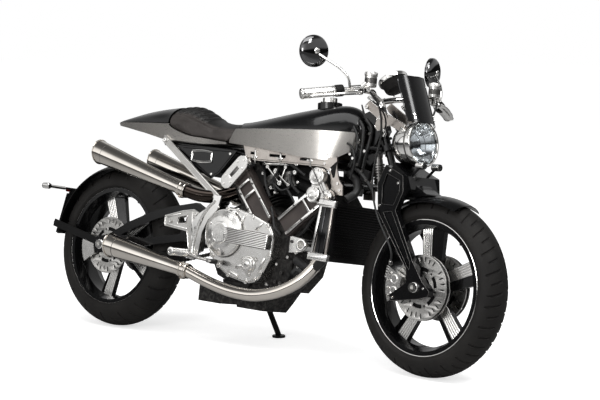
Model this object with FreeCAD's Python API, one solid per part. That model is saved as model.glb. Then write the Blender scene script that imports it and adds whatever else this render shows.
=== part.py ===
import FreeCAD, Part
import math
import os

from FreeCAD import Placement, Rotation, Vector

# Cafe racer motorcycle with a V-twin engine, leaning on its side stand.
# Millimetres. The machine is drawn upright with the rear tyre touching the ground at the
# origin, +X forward, +Y to its left and +Z up. Then it is steered, leaned and moved.

# Overall layout. Places in the side view are shares of the wheelbase from the rear contact.
WHEELBASE = 1540.0
RAKE_ANGLE = 24.0
TRAIL = 93.0
LEAN_ANGLE = 10.0
REST_STEER_ANGLE = -6.0
OVERRUN = 20.0
CLEARANCE = 0.3
RUNNING_FIT = 0.05
BEND_SHARE = 0.45

# Wheels and tyres
FRONT_TYRE_RADIUS = 312.5
FRONT_TYRE_HALF_WIDTH = 60.0
REAR_TYRE_RADIUS = 324.6
REAR_TYRE_HALF_WIDTH = 80.0
BEAD_RADIUS = 228.6
BEAD_WIDTH_SHARE = 0.78
FLANGE_HEIGHT = 10.0
FLANGE_THICKNESS = 7.0
BARREL_DEPTH = 22.0
BARREL_EDGE_DEPTH = 8.0
SPOKE_COUNT = 5
FRONT_SPOKE_ANGLE = 20.5
REAR_SPOKE_ANGLE = 38.0
SPOKE_WIDTH = 84.0
SPOKE_THICKNESS = 44.0
SPOKE_FACET_SHARE = 0.6
SPOKE_ROOT_SHARE = 0.7
FRONT_HUB_RADIUS = 42.0
FRONT_HUB_HALF_WIDTH = 68.0
REAR_HUB_RADIUS = 60.0
REAR_HUB_HALF_WIDTH = 72.0
AXLE_RADIUS = 12.5

# Brakes and final drive
DISC_RADIUS = 115.0
DISC_BAND = 33.0
DISC_THICKNESS = 4.5
DISC_ARM_COUNT = 5
DISC_ARM_WIDTH = 26.0
DISC_SLOT_COUNT = 15
DISC_SLOT_LENGTH = 19.0
DISC_SLOT_WIDTH = 5.0
FRONT_DISC_INNER_Y = 46.0
FRONT_DISC_SPACING = 18.0
REAR_DISC_Y = 88.0
CALIPER_GAP = 5.5
SPROCKET_RADIUS = 92.0
SPROCKET_TOOTH_COUNT = 38
TOOTH_DEPTH = 5.0
TOOTH_TIP_SHARE = 0.22
DRIVE_SPROCKET_RADIUS = 40.0
SPROCKET_THICKNESS = 7.0
CHAIN_Y = 97.0
CHAIN_WIDTH = 16.0
CHAIN_HEIGHT = 14.0
LINK_PITCH = 15.9
LINK_WAIST = 2.2

# Swingarm, rear suspension and rear guard
SWINGARM_INNER_Y = 112.0
SWINGARM_THICKNESS = 24.0
CASTING_PROUD = 3.0
SWINGARM_BOSS_RADIUS = 34.0
SWINGARM_CROSS_RADIUS = 22.0
PIVOT_SHAFT_RADIUS = 13.0
PIVOT_PLATE_THICKNESS = 8.0
SHOCK_SPRING_RADIUS = 30.0
SHOCK_EYE_RADIUS = 16.0
SHOCK_BODY_RADIUS = 19.0
HUGGER_GAP = 14.0
HUGGER_THICKNESS = 3.5
HUGGER_HALF_WIDTH = 92.0
HUGGER_FROM_ANGLE = 78.0
HUGGER_TO_ANGLE = 176.0
BRACE_WIDTH = 30.0
BRACE_THICKNESS = 6.0

# Side stand
STAND_TUBE_RADIUS = 11.0
STAND_HUB_RADIUS = 17.0
STAND_HUB_HALF_LENGTH = 13.0
STAND_PIN_RADIUS = 6.0
STAND_EAR_THICKNESS = 8.0
STAND_FOOT_RADIUS = 26.0
STAND_FOOT_THICKNESS = 8.0
STAND_AXIS_TILT = 25.8
STAND_TRAVEL = 98.0
STAND_SPLAY = 131.0
STAND_FORWARD = 40.0

# Engine
CASE_HALF_WIDTH = 78.0
COVER_DEPTH = 52.0
COVER_EDGE_FILLET = 8.0
CLUTCH_RADIUS = 90.0
CLUTCH_RISE = 24.0
CLUTCH_CAP_SHARE = 0.45
OIL_BAR_HEIGHT = 54.0
OIL_BAR_FIN_COUNT = 7
OIL_BAR_RISE = 26.0
OIL_BAR_FIN_RISE = 7.0
ALTERNATOR_RADIUS = 92.0
BARREL_RADIUS = 62.0
FIN_RADIUS = 78.0
FIN_COUNT = 6
FIN_THICKNESS = 4.0
FIN_PITCH = 13.0
BARREL_START = 120.0
HEAD_START = 204.0
HEAD_END = 300.0
HEAD_HALF_WIDTH = 72.0
HEAD_HALF_LENGTH = 76.0
TOWER_WIDTH = 84.0
TOWER_DEPTH = 34.0
TOWER_RIB_WIDTH = 9.0
TOWER_RIB_RISE = 6.0
CAM_COVER_DEPTH = 22.0
CAM_COVER_RADIUS = 29.0

# Exhaust
HEADER_RADIUS = 22.5
UPPER_PIPE_RADIUS = 25.0
SILENCER_OUTLET_RADIUS = 48.0
SILENCER_JOINT_RADIUS = 28.0
SILENCER_MOUTH_DEPTH = 45.0
SILENCER_WALL = 3.0

# Fuel tank, seat and tail
TANK_BASE_Z = 838.0
TANK_FLOOR_Z = 706.0
TANK_LEDGE = 14.0
FILLER_RADIUS = 27.0
FILLER_HEIGHT = 20.0
RING_RADIUS = 46.0
RING_PITCH_RADIUS = 37.0
RING_HOLE_RADIUS = 2.1
RING_HOLE_DEPTH = 8.0
RING_HOLE_COUNT = 6
SEAT_SHOULDER_SHARE = 0.74
TANK_SHOULDER_SHARE = 0.8
TAIL_SHOULDER_SHARE = 0.78
TAIL_DEPTH = 76.0
RAIL_PLATE_Y = 96.0
RAIL_PLATE_THICKNESS = 6.0
SIDE_PANEL_THICKNESS = 6.0
BADGE_THICKNESS = 2.5
STRUT_WIDTH = 28.0
STRUT_THICKNESS = 8.0
SUBFRAME_RADIUS = 11.0
SUBFRAME_Y = 66.0
BATTERY_HALF_WIDTH = 88.0

# Steering
STEM_RADIUS = 14.0
HEAD_TUBE_RADIUS = 27.0
FORK_INNER_Y = 73.5
FORK_THICKNESS = 27.0
EYE_RADIUS = 25.0
EYE_HALF_HEIGHT = 11.0
LUG_RADIUS = 29.0
BAR_RADIUS = 11.0
GRIP_RADIUS = 17.0
MIRROR_RADIUS = 55.0
MIRROR_DEPTH = 14.0
MIRROR_TURN = 15.0
HEADLAMP_RADIUS = 84.0
HEADLAMP_RIM_WIDTH = 16.0
LENS_DEPTH = 12.0
SCREEN_RADIUS = 88.0
SCREEN_THICKNESS = 3.0
SCREEN_HALF_ANGLE = 55.0
INSTRUMENT_RADIUS = 52.0
INSTRUMENT_DEPTH = 46.0
HOSE_RADIUS = 3.5
INDICATOR_RADIUS = 12.0
INDICATOR_LENGTH = 34.0
STALK_SHARE = 0.4

# Cooling
RADIATOR_HALF_WIDTH = 178.0
RADIATOR_THICKNESS = 34.0
RADIATOR_FIN_COUNT = 14


# Places and shapes used by every sub-part

def spot(share, y=0.0):
    return Vector(share[0] * WHEELBASE, y, share[1] * WHEELBASE)


def spots(shares, y=0.0):
    return [spot(share, y) for share in shares]


def space(share):
    return Vector(share[0], share[1], share[2]) * WHEELBASE


def spaces(shares):
    return [space(share) for share in shares]


def mirrored(shape):
    return shape.mirror(Vector(), Vector(0, 1, 0))


def both(shape):
    return Part.Compound([shape, mirrored(shape)])


def joined(shapes):
    solid = shapes[0]
    if len(shapes) > 1:
        solid = solid.fuse(shapes[1:])
    return solid.removeSplitter()


def trimmed(shape, others):
    # The shape without what the others fill, keeping its larger solids.
    left = shape.cut(others)
    largest = max(solid.Volume for solid in left.Solids)
    kept = [solid for solid in left.Solids if solid.Volume > largest * OFFCUT_SHARE]
    return kept[0] if len(kept) == 1 else Part.Compound(kept)


def slab(shares, y_from, y_to):
    # A flat plate with a straight-sided outline in the side view.
    points = spots(shares, y_from)
    face = Part.Face(Part.makePolygon(points + points[:1]))
    return face.extrude(Vector(0, y_to - y_from, 0))


def disc(share, radius, y_from, y_to):
    return rod(spot(share, y_from), spot(share, y_to), radius)


def rod(start, end, radius, end_radius=None):
    run = end - start
    if end_radius is None or end_radius == radius:
        return Part.makeCylinder(radius, run.Length, start, run)
    return Part.makeCone(radius, end_radius, run.Length, start, run)


def bent_path(points):
    # Straight runs joined by tangent arcs.
    edges = []
    start = points[0]
    for before, corner, after in zip(points, points[1:], points[2:]):
        into = corner - before
        out = after - corner
        turn = into.getAngle(out)
        if turn < STRAIGHT_ANGLE:
            continue
        reach = BEND_SHARE * min(into.Length, out.Length)
        into.normalize()
        out.normalize()
        radius = reach / math.tan(turn / 2)
        inward = out - into
        inward.normalize()
        middle = corner + inward * radius * (1 / math.cos(turn / 2) - 1)
        first = corner - into * reach
        last = corner + out * reach
        edges.append(Part.LineSegment(start, first).toShape())
        edges.append(Part.Arc(first, middle, last).toShape())
        start = last
    edges.append(Part.LineSegment(start, points[-1]).toShape())
    return Part.Wire(edges)


def tube(points, radius):
    path = bent_path(points)
    section = Part.Wire(Part.Circle(points[0], points[1] - points[0], radius).toShape())
    return path.makePipeShell([section], True, False)


def bar(start, end, width, thickness, facing):
    # A straight bar of rectangular section whose broad side looks along facing.
    along = end - start
    across = along.cross(facing)
    across.normalize()
    out = across.cross(along)
    out.normalize()
    corners = []
    for side, depth in ((-1, -1), (1, -1), (1, 1), (-1, 1)):
        corners.append(start + across * (side * width / 2) + out * (depth * thickness / 2))
    face = Part.Face(Part.makePolygon(corners + corners[:1]))
    return face.extrude(along)


def turned(points, centre, axis):
    # A ring or a body of revolution. Each point is a distance from the axis and one along it.
    axis = Vector(axis)
    axis.normalize()
    outward = axis.cross(Vector(0, 1, 0))
    if outward.Length < HALF:
        outward = Vector(1, 0, 0)
    outward.normalize()
    placed = [centre + outward * radius + axis * along for radius, along in points]
    face = Part.Face(Part.makePolygon(placed + placed[:1]))
    return face.revolve(centre, axis, 360)


def dome_section(x, half_width, base, top, shoulder_share=0.78):
    # A flat base and an arched top, as a closed wire across the machine.
    rise = top - base
    left = Vector(x, half_width, base)
    right = Vector(x, -half_width, base)
    points = [
        right,
        Vector(x, -half_width * DOME_SIDE_SHARE, base + rise * DOME_RISE_SHARE),
        Vector(x, -half_width * DOME_CROWN_SHARE, base + rise * shoulder_share),
        Vector(x, 0, top),
        Vector(x, half_width * DOME_CROWN_SHARE, base + rise * shoulder_share),
        Vector(x, half_width * DOME_SIDE_SHARE, base + rise * DOME_RISE_SHARE),
        left,
    ]
    arch = Part.BSplineCurve()
    arch.interpolate(Points=points)
    return Part.Wire([arch.toShape(), Part.LineSegment(left, right).toShape()])


def domed(stations, shoulder_share):
    # Stations are shares: place along, half width, base and top.
    wires = []
    for along, half_width, base, top in stations:
        sizes = [WHEELBASE * share for share in (along, half_width, base, top)]
        wires.append(dome_section(*sizes, shoulder_share))
    return Part.makeLoft(wires, True, False)


def plan_section(shares, z):
    # A closed outline seen from above, given by its left half from rear to front.
    left = [Vector(x * WHEELBASE, y * WHEELBASE, z) for x, y in shares]
    right = [Vector(point.x, -point.y, z) for point in reversed(left)]
    curve = Part.BSplineCurve()
    curve.interpolate(Points=left + right)
    closing = Part.LineSegment(right[-1], left[0]).toShape()
    return Part.Wire([curve.toShape(), closing])


OFFCUT_SHARE = 0.02
STRAIGHT_ANGLE = math.radians(0.5)
HALF = 0.5
DOME_SIDE_SHARE = 0.97
DOME_RISE_SHARE = 0.3
DOME_CROWN_SHARE = 0.62

REAR_AXLE = Vector(0, 0, REAR_TYRE_RADIUS)
FRONT_AXLE = Vector(WHEELBASE, 0, FRONT_TYRE_RADIUS)
RAKE = math.radians(RAKE_ANGLE)
STEER_AXIS = Vector(-math.sin(RAKE), 0, math.cos(RAKE))
STEER_FOOT = Vector(WHEELBASE + TRAIL, 0, 0)
SIDE = Vector(0, 1, 0)


def on_steering(z, y=0.0):
    # The place where the steering axis passes a height.
    return STEER_FOOT + STEER_AXIS * (z / STEER_AXIS.z) + Vector(0, y, 0)


# Wheels

def tyre(centre, radius, half_width):
    # The outline runs from the bead seat up the flange, out to the widest place and over.
    bead = half_width * BEAD_WIDTH_SHARE
    crown = radius - half_width
    corners = [(BEAD_RADIUS, -bead), (BEAD_RADIUS, bead), (BEAD_RADIUS + FLANGE_HEIGHT, bead),
               (crown, half_width)]
    near = [centre + Vector(along, y, 0) for along, y in corners]
    far = [centre + Vector(along, -y, 0) for along, y in reversed(corners[1:])]
    top = centre + Vector(radius, 0, 0)
    outline = [Part.LineSegment(start, end).toShape() for start, end in zip(near, near[1:])]
    outline.append(Part.Arc(near[-1], top, far[0]).toShape())
    outline += [Part.LineSegment(start, end).toShape() for start, end in zip(far, far[1:])]
    return Part.Face(Part.Wire(outline)).revolve(centre, SIDE, 360)


def spoke_section(centre, radius, angle, size_share):
    # A bright face on each side with a slanted dark face beside it, alike when turned over.
    half = SPOKE_WIDTH * size_share / 2
    inner = half - SPOKE_WIDTH * size_share * SPOKE_FACET_SHARE
    depth = SPOKE_THICKNESS * size_share / 2
    outline = [(-half, 0), (inner, -depth), (half, -depth), (half, 0), (-inner, depth), (-half, depth)]
    outward = Vector(math.cos(angle), 0, math.sin(angle))
    around = Vector(-math.sin(angle), 0, math.cos(angle))
    points = [centre + outward * radius + around * across + SIDE * y for across, y in outline]
    return Part.makePolygon(points + points[:1])


def rim(centre, half_width, hub_radius, hub_half_width, first_angle):
    seat = half_width * BEAD_WIDTH_SHARE
    edge = seat + FLANGE_THICKNESS
    flange = BEAD_RADIUS + FLANGE_HEIGHT
    barrel = BEAD_RADIUS - BARREL_DEPTH
    lip = BEAD_RADIUS - BARREL_EDGE_DEPTH
    profile = [
        (BEAD_RADIUS, -seat), (flange, -seat), (flange, -edge), (lip, -edge),
        (barrel, -seat / 2), (barrel, seat / 2),
        (lip, edge), (flange, edge), (flange, seat), (BEAD_RADIUS, seat),
    ]
    parts = [turned(profile, centre, SIDE)]
    parts.append(rod(centre - SIDE * hub_half_width, centre + SIDE * hub_half_width, hub_radius))
    for index in range(SPOKE_COUNT):
        angle = math.radians(first_angle) + index * math.tau / SPOKE_COUNT
        root = spoke_section(centre, hub_radius * HALF, angle, SPOKE_ROOT_SHARE)
        tip = spoke_section(centre, barrel + BARREL_EDGE_DEPTH / 2, angle, 1)
        parts.append(Part.makeLoft([root, tip], True, True))
    bore = rod(centre - SIDE * half_width * 2, centre + SIDE * half_width * 2, AXLE_RADIUS + RUNNING_FIT)
    return joined(parts).cut(bore)


def brake_disc(centre, y, hub_radius):
    low = y - DISC_THICKNESS / 2
    high = y + DISC_THICKNESS / 2
    inner = DISC_RADIUS - DISC_BAND
    ring = turned([(inner, low), (DISC_RADIUS, low), (DISC_RADIUS, high), (inner, high)], centre, SIDE)
    middle = centre + SIDE * y
    parts = [ring]
    for index in range(DISC_ARM_COUNT):
        angle = index * math.tau / DISC_ARM_COUNT
        outward = Vector(math.cos(angle), 0, math.sin(angle))
        reach = inner + DISC_BAND * DISC_ARM_SHARE
        parts.append(bar(middle, middle + outward * reach, DISC_ARM_WIDTH, DISC_THICKNESS, SIDE))
    hub = rod(centre + SIDE * low * 2, centre - SIDE * low * 2, hub_radius)
    collar = rod(centre + SIDE * low, centre + SIDE * high, hub_radius + DISC_ARM_WIDTH / 2)
    slots = []
    for index in range(DISC_SLOT_COUNT):
        angle = (index + HALF) * math.tau / DISC_SLOT_COUNT
        outward = Vector(math.cos(angle), 0, math.sin(angle))
        start = middle + outward * (DISC_RADIUS - (DISC_BAND + DISC_SLOT_LENGTH) / 2)
        end = start + outward * DISC_SLOT_LENGTH
        slots.append(bar(start, end, DISC_SLOT_WIDTH, DISC_THICKNESS * 2, SIDE))
    return joined(parts + [collar]).cut([hub] + slots)


def front_discs():
    places = []
    for side in (-1, 1):
        for step in (0, 1):
            places.append(side * (FRONT_DISC_INNER_Y + step * FRONT_DISC_SPACING))
    return Part.Compound([brake_disc(FRONT_AXLE, y, FRONT_HUB_RADIUS) for y in places])


def sprocket(centre, y, radius, hub_radius):
    # Teeth cut in the rim, and round windows between it and the hub.
    low = centre + SIDE * (y - SPROCKET_THICKNESS / 2)
    tip = radius - CHAIN_HEIGHT / 2
    points = []
    root = HALF + TOOTH_TIP_SHARE
    steps = [(0, 0), (TOOTH_TIP_SHARE, 0), (HALF, TOOTH_DEPTH), (root, TOOTH_DEPTH)]
    for index in range(SPROCKET_TOOTH_COUNT):
        for share, depth in steps:
            angle = (index + share) * math.tau / SPROCKET_TOOTH_COUNT
            points.append(low + Vector(math.cos(angle), 0, math.sin(angle)) * (tip - depth))
    wheel = Part.Face(Part.makePolygon(points + points[:1])).extrude(SIDE * SPROCKET_THICKNESS)
    below = SIDE * -SPROCKET_THICKNESS
    tools = [rod(low + below, low - below * 2, hub_radius)]
    for index in range(SPOKE_COUNT):
        angle = index * math.tau / SPOKE_COUNT
        window = low + Vector(math.cos(angle), 0, math.sin(angle)) * radius * WINDOW_PLACE_SHARE
        tools.append(rod(window + below, window - below * 2, TOOTH_DEPTH * 2))
    return wheel.cut(tools)


def axle(centre, hub_right, hub_left, inner_y, outer_y):
    parts = [rod(centre - SIDE * outer_y, centre + SIDE * outer_y, AXLE_RADIUS)]
    for side, hub_end in ((-1, hub_right), (1, hub_left)):
        start = centre + SIDE * side * (hub_end + CLEARANCE)
        parts.append(rod(start, centre + SIDE * side * inner_y, AXLE_RADIUS * SPACER_SHARE))
        nut = rod(centre + SIDE * side * outer_y, centre + SIDE * side * (outer_y + AXLE_RADIUS),
                  AXLE_RADIUS * NUT_SHARE)
        parts.append(nut)
    solid = joined(parts)
    hollow = rod(centre - SIDE * outer_y * 2, centre + SIDE * outer_y * 2, AXLE_RADIUS * AXLE_BORE_SHARE)
    return solid.cut(hollow)


DISC_ARM_SHARE = 0.15
SPACER_SHARE = 1.5
SHOCK_SPRING_SHARE = 0.48
SHOCK_TURN_COUNT = 6
NUT_SHARE = 1.35
AXLE_BORE_SHARE = 0.62
HUB_SEAT_SHARE = 0.7
WINDOW_PLACE_SHARE = 0.68

# Swingarm and what it carries
PIVOT_SHARE = (0.3377, 0.2792)
DRIVE_SHARE = (0.3916, 0.2805)
CROSS_SHARE = (0.2805, 0.2610)
ARM_SHARES = [
    (-0.0247, 0.2065), (-0.0169, 0.2286), (0.0331, 0.2422), (0.0909, 0.2753), (0.1695, 0.3071),
    (0.2442, 0.3279), (0.3247, 0.3429), (0.3558, 0.3279), (0.3610, 0.2857), (0.3558, 0.2545),
    (0.2987, 0.2442), (0.1604, 0.2208), (0.0390, 0.1922), (-0.0130, 0.1883),
]
ARM_WINDOW_SHARES = [
    (0.0727, 0.2416), (0.1117, 0.2610), (0.1929, 0.2922), (0.2597, 0.3130), (0.2935, 0.3117),
    (0.2896, 0.2623), (0.1604, 0.2390),
]
CASTING_SHARES = [
    (0.2240, 0.3039), (0.2857, 0.3208), (0.3247, 0.3266), (0.3558, 0.3130), (0.3610, 0.2714),
    (0.3539, 0.2240), (0.3279, 0.2123), (0.3149, 0.2312), (0.3052, 0.2688), (0.2260, 0.2773),
]
CASTING_WINDOW_SHARES = [
    (0.2753, 0.3026), (0.3000, 0.3078), (0.2974, 0.2896), (0.2727, 0.2877),
]
SHOCK_LOW_SHARE = (0.2935, 0.2896)
SHOCK_HIGH_SHARE = (0.3558, 0.3974)


def swingarm():
    outer = SWINGARM_INNER_Y + SWINGARM_THICKNESS
    arm = slab(ARM_SHARES, SWINGARM_INNER_Y, outer)
    arm = arm.cut(slab(ARM_WINDOW_SHARES, SWINGARM_INNER_Y - OVERRUN, outer + OVERRUN))
    boss = rod(REAR_AXLE + SIDE * SWINGARM_INNER_Y, REAR_AXLE + SIDE * outer, SWINGARM_BOSS_RADIUS)
    pivot = disc(PIVOT_SHARE, SWINGARM_BOSS_RADIUS, SWINGARM_INNER_Y, outer)
    arm = joined([arm, boss, pivot])
    cross = disc(CROSS_SHARE, SWINGARM_CROSS_RADIUS, -SWINGARM_INNER_Y, SWINGARM_INNER_Y)
    lug_outer = SHOCK_EYE_RADIUS
    lug = bar(spot(CROSS_SHARE), spot(SHOCK_LOW_SHARE), SHOCK_EYE_RADIUS * 2, lug_outer * 2, SIDE)
    solid = joined([arm, mirrored(arm), cross, lug])
    tools = [disc(PIVOT_SHARE, PIVOT_SHAFT_RADIUS, -outer * 2, outer * 2)]
    tools.append(rod(REAR_AXLE - SIDE * outer * 2, REAR_AXLE + SIDE * outer * 2, AXLE_RADIUS))
    tools.append(disc(SHOCK_LOW_SHARE, SHOCK_EYE_RADIUS, -lug_outer, lug_outer))
    return solid.cut(tools)


def pivot_casting():
    # The bright forward end of each arm, which turns on the pivot shaft.
    outer = SWINGARM_INNER_Y + SWINGARM_THICKNESS + CASTING_PROUD
    casting = slab(CASTING_SHARES, SWINGARM_INNER_Y, outer)
    window = slab(CASTING_WINDOW_SHARES, SWINGARM_INNER_Y - OVERRUN, outer + OVERRUN)
    return casting.cut([window, disc(PIVOT_SHARE, PIVOT_SHAFT_RADIUS, 0, outer * 2)])


def shock(low, high, eye_radius, body_radius, spring_radius, eye_half_width):
    # An eye at each end, a body between two collars, and the turns of its spring.
    direction = high - low
    length = direction.Length
    direction.normalize()
    parts = [rod(low + direction * eye_radius * HALF, high - direction * eye_radius * HALF, body_radius)]
    turn_length = length * SHOCK_SPRING_SHARE / (SHOCK_TURN_COUNT - HALF)
    start = low + direction * length * (1 - SHOCK_SPRING_SHARE) / 2
    for index in range(SHOCK_TURN_COUNT):
        turn = start + direction * turn_length * index
        parts.append(rod(turn, turn + direction * turn_length * HALF, spring_radius))
    for end in (low, high):
        parts.append(rod(end - SIDE * eye_half_width, end + SIDE * eye_half_width, eye_radius))
    return joined(parts)


def arc_band(centre, radius, thickness, half_width, from_angle, to_angle, crown):
    # A mudguard: part of a ring whose section is bowed outward.
    low = [centre + Vector(radius - crown, -half_width, 0), centre + Vector(radius, 0, 0),
           centre + Vector(radius - crown, half_width, 0)]
    high = [point + Vector(thickness, 0, 0) for point in low]
    outline = [
        Part.Arc(low[0], low[1], low[2]).toShape(),
        Part.LineSegment(low[2], high[2]).toShape(),
        Part.Arc(high[2], high[1], high[0]).toShape(),
        Part.LineSegment(high[0], low[0]).toShape(),
    ]
    face = Part.Face(Part.Wire(outline))
    face.rotate(centre, SIDE, -from_angle)
    return face.revolve(centre, -SIDE, to_angle - from_angle)


# Engine
CRANK_SHARE = (0.5662, 0.2799)
REAR_BANK_ANGLE = 130.4
FRONT_BANK_ANGLE = 39.8
CASE_SHARES = [
    (0.3195, 0.2935), (0.3636, 0.3052), (0.3896, 0.3279), (0.4481, 0.3539), (0.5195, 0.3584),
    (0.5877, 0.3325), (0.6396, 0.3052), (0.6571, 0.2597), (0.6429, 0.1948), (0.6039, 0.1506),
    (0.4545, 0.1481), (0.3896, 0.1701), (0.3636, 0.2143), (0.3377, 0.2545), (0.3182, 0.2675),
]
COVER_SHARES = [
    (0.3701, 0.2903), (0.3766, 0.3104), (0.3974, 0.3299), (0.4286, 0.3403), (0.4623, 0.3390),
    (0.5130, 0.3266), (0.5656, 0.3078), (0.5838, 0.2805), (0.5825, 0.2312), (0.5597, 0.1851),
    (0.5429, 0.1656), (0.5130, 0.1584), (0.4519, 0.1701), (0.4156, 0.1896), (0.3896, 0.2143),
    (0.3675, 0.2468),
]
CLUTCH_SHARE = (0.4279, 0.2747)
OIL_BAR_REAR_SHARE = (0.4481, 0.2714)
OIL_BAR_FRONT_SHARE = (0.5805, 0.2643)
PUMP_SHARE = (0.5162, 0.2058)
PUMP_RADIUS = 27.0
COOLANT_SHARE = (0.6727, 0.2662)
COOLANT_RADIUS = 22.0
COOLANT_BORE_RADIUS = 14.0
COOLANT_REACH = 58.0
COOLANT_LUG_SHARES = [
    (0.6169, 0.2455), (0.6727, 0.2526), (0.6831, 0.2662), (0.6727, 0.2799), (0.6169, 0.2857),
]
LEFT_COVER_SHARE = (0.5662, 0.2669)
LEFT_ARM_SHARES = [
    (0.3675, 0.3039), (0.4156, 0.3156), (0.5195, 0.3156), (0.5195, 0.2208), (0.4156, 0.2455),
    (0.3675, 0.2558),
]


def bank_point(angle, along, across, y):
    # A place on a cylinder bank: along its axis and across it, away from the other bank.
    turn = math.radians(angle)
    direction = Vector(math.cos(turn), 0, math.sin(turn))
    outward = Vector(-math.sin(turn), 0, math.cos(turn))
    if angle < 90:
        outward = -outward
    return spot(CRANK_SHARE, y) + direction * along + outward * across


def crankcase():
    case = slab(CASE_SHARES, -CASE_HALF_WIDTH, CASE_HALF_WIDTH)
    tunnel_half = SWINGARM_INNER_Y - CLEARANCE
    tunnel = disc(PIVOT_SHARE, SWINGARM_BOSS_RADIUS, -CASE_HALF_WIDTH, CASE_HALF_WIDTH)
    spacer = disc(PIVOT_SHARE, PIVOT_SHAFT_RADIUS * SPACER_SHARE, -tunnel_half, tunnel_half)
    case = joined([case, tunnel, spacer])
    pin = disc(PIVOT_SHARE, PIVOT_SHAFT_RADIUS, -tunnel_half * 2, tunnel_half * 2)
    return case.cut(pin)


def pivot_shaft():
    outer = SWINGARM_INNER_Y + SWINGARM_THICKNESS + CASTING_PROUD
    return disc(PIVOT_SHARE, PIVOT_SHAFT_RADIUS, -outer, outer)


def right_cover():
    outer = CASE_HALF_WIDTH + COVER_DEPTH
    base = slab(COVER_SHARES, -outer, -CASE_HALF_WIDTH)
    rim_edges = [edge for edge in base.Edges if abs(edge.CenterOfMass.y + outer) < HALF]
    base = base.makeFillet(COVER_EDGE_FILLET, rim_edges)
    clutch = rod(spot(CLUTCH_SHARE, -CASE_HALF_WIDTH), spot(CLUTCH_SHARE, -outer - CLUTCH_RISE / 2),
                 CLUTCH_RADIUS)
    dome = rod(spot(CLUTCH_SHARE, -outer - CLUTCH_RISE / 2), spot(CLUTCH_SHARE, -outer - CLUTCH_RISE),
               CLUTCH_RADIUS, CLUTCH_RADIUS * CLUTCH_DOME_SHARE)
    cap = rod(spot(CLUTCH_SHARE, -outer), spot(CLUTCH_SHARE, -outer - CLUTCH_RISE - COVER_EDGE_FILLET),
              CLUTCH_RADIUS * CLUTCH_CAP_SHARE)
    parts = [base, clutch, dome, cap]
    rear = spot(OIL_BAR_REAR_SHARE, -outer)
    front = spot(OIL_BAR_FRONT_SHARE, -outer)
    middle = SIDE * -OIL_BAR_RISE / 2
    parts.append(bar(rear + middle, front + middle, OIL_BAR_HEIGHT, OIL_BAR_RISE, SIDE))
    pitch = OIL_BAR_HEIGHT / OIL_BAR_FIN_COUNT
    for index in range(OIL_BAR_FIN_COUNT):
        lift = Vector(0, -OIL_BAR_RISE, (index + HALF) * pitch - OIL_BAR_HEIGHT / 2)
        parts.append(bar(rear + lift, front + lift, pitch * HALF, OIL_BAR_FIN_RISE, SIDE))
    parts.append(disc(PUMP_SHARE, PUMP_RADIUS, -outer - OIL_BAR_FIN_RISE, -CASE_HALF_WIDTH))
    parts.append(disc(PUMP_SHARE, PUMP_RADIUS * CLUTCH_DOME_SHARE, -outer - OIL_BAR_FIN_RISE * 2, -outer))
    return joined(parts)


def coolant_outlet():
    # An open pipe end on a lug at the front of the crankcase.
    outer = CASE_HALF_WIDTH + COOLANT_REACH
    lug = slab(COOLANT_LUG_SHARES, -CASE_HALF_WIDTH - PIVOT_PLATE_THICKNESS * 2, -CASE_HALF_WIDTH)
    pipe = disc(COOLANT_SHARE, COOLANT_RADIUS, -outer, -CASE_HALF_WIDTH)
    bore = disc(COOLANT_SHARE, COOLANT_BORE_RADIUS, -outer - OVERRUN, -outer + COOLANT_REACH / 2)
    return joined([lug, pipe]).cut(bore)


CLUTCH_DOME_SHARE = 0.72


def left_cover():
    outer = CASE_HALF_WIDTH + COVER_DEPTH
    drum = disc(LEFT_COVER_SHARE, ALTERNATOR_RADIUS, CASE_HALF_WIDTH, outer)
    rim_edges = [edge for edge in drum.Edges if abs(edge.CenterOfMass.y - outer) < HALF]
    drum = drum.makeFillet(COVER_EDGE_FILLET, rim_edges)
    chain_outer = CHAIN_Y + CHAIN_WIDTH / 2
    guard = slab(LEFT_ARM_SHARES, chain_outer + OVERRUN / 4, outer - OVERRUN / 4)
    hub = disc(LEFT_COVER_SHARE, ALTERNATOR_RADIUS * CLUTCH_CAP_SHARE, CASE_HALF_WIDTH, outer + OIL_BAR_RISE)
    return joined([drum, guard, hub])


def bank(angle):
    base = bank_point(angle, BARREL_START, 0, 0)
    top = bank_point(angle, HEAD_START, 0, 0)
    parts = [rod(base, top, BARREL_RADIUS)]
    direction = top - base
    direction.normalize()
    for index in range(FIN_COUNT):
        start = base + direction * (index * FIN_PITCH + FIN_PITCH / 2)
        parts.append(rod(start, start + direction * FIN_THICKNESS, FIN_RADIUS))
    low = bank_point(angle, HEAD_START, 0, 0)
    high = bank_point(angle, HEAD_END, 0, 0)
    head = bar(low, high, HEAD_HALF_LENGTH * 2, HEAD_HALF_WIDTH * 2, SIDE)
    parts.append(head)
    return joined(parts)


def cylinders(case):
    banks = [trimmed(bank(angle), [case]) for angle in (REAR_BANK_ANGLE, FRONT_BANK_ANGLE)]
    return Part.Compound(banks)


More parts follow.
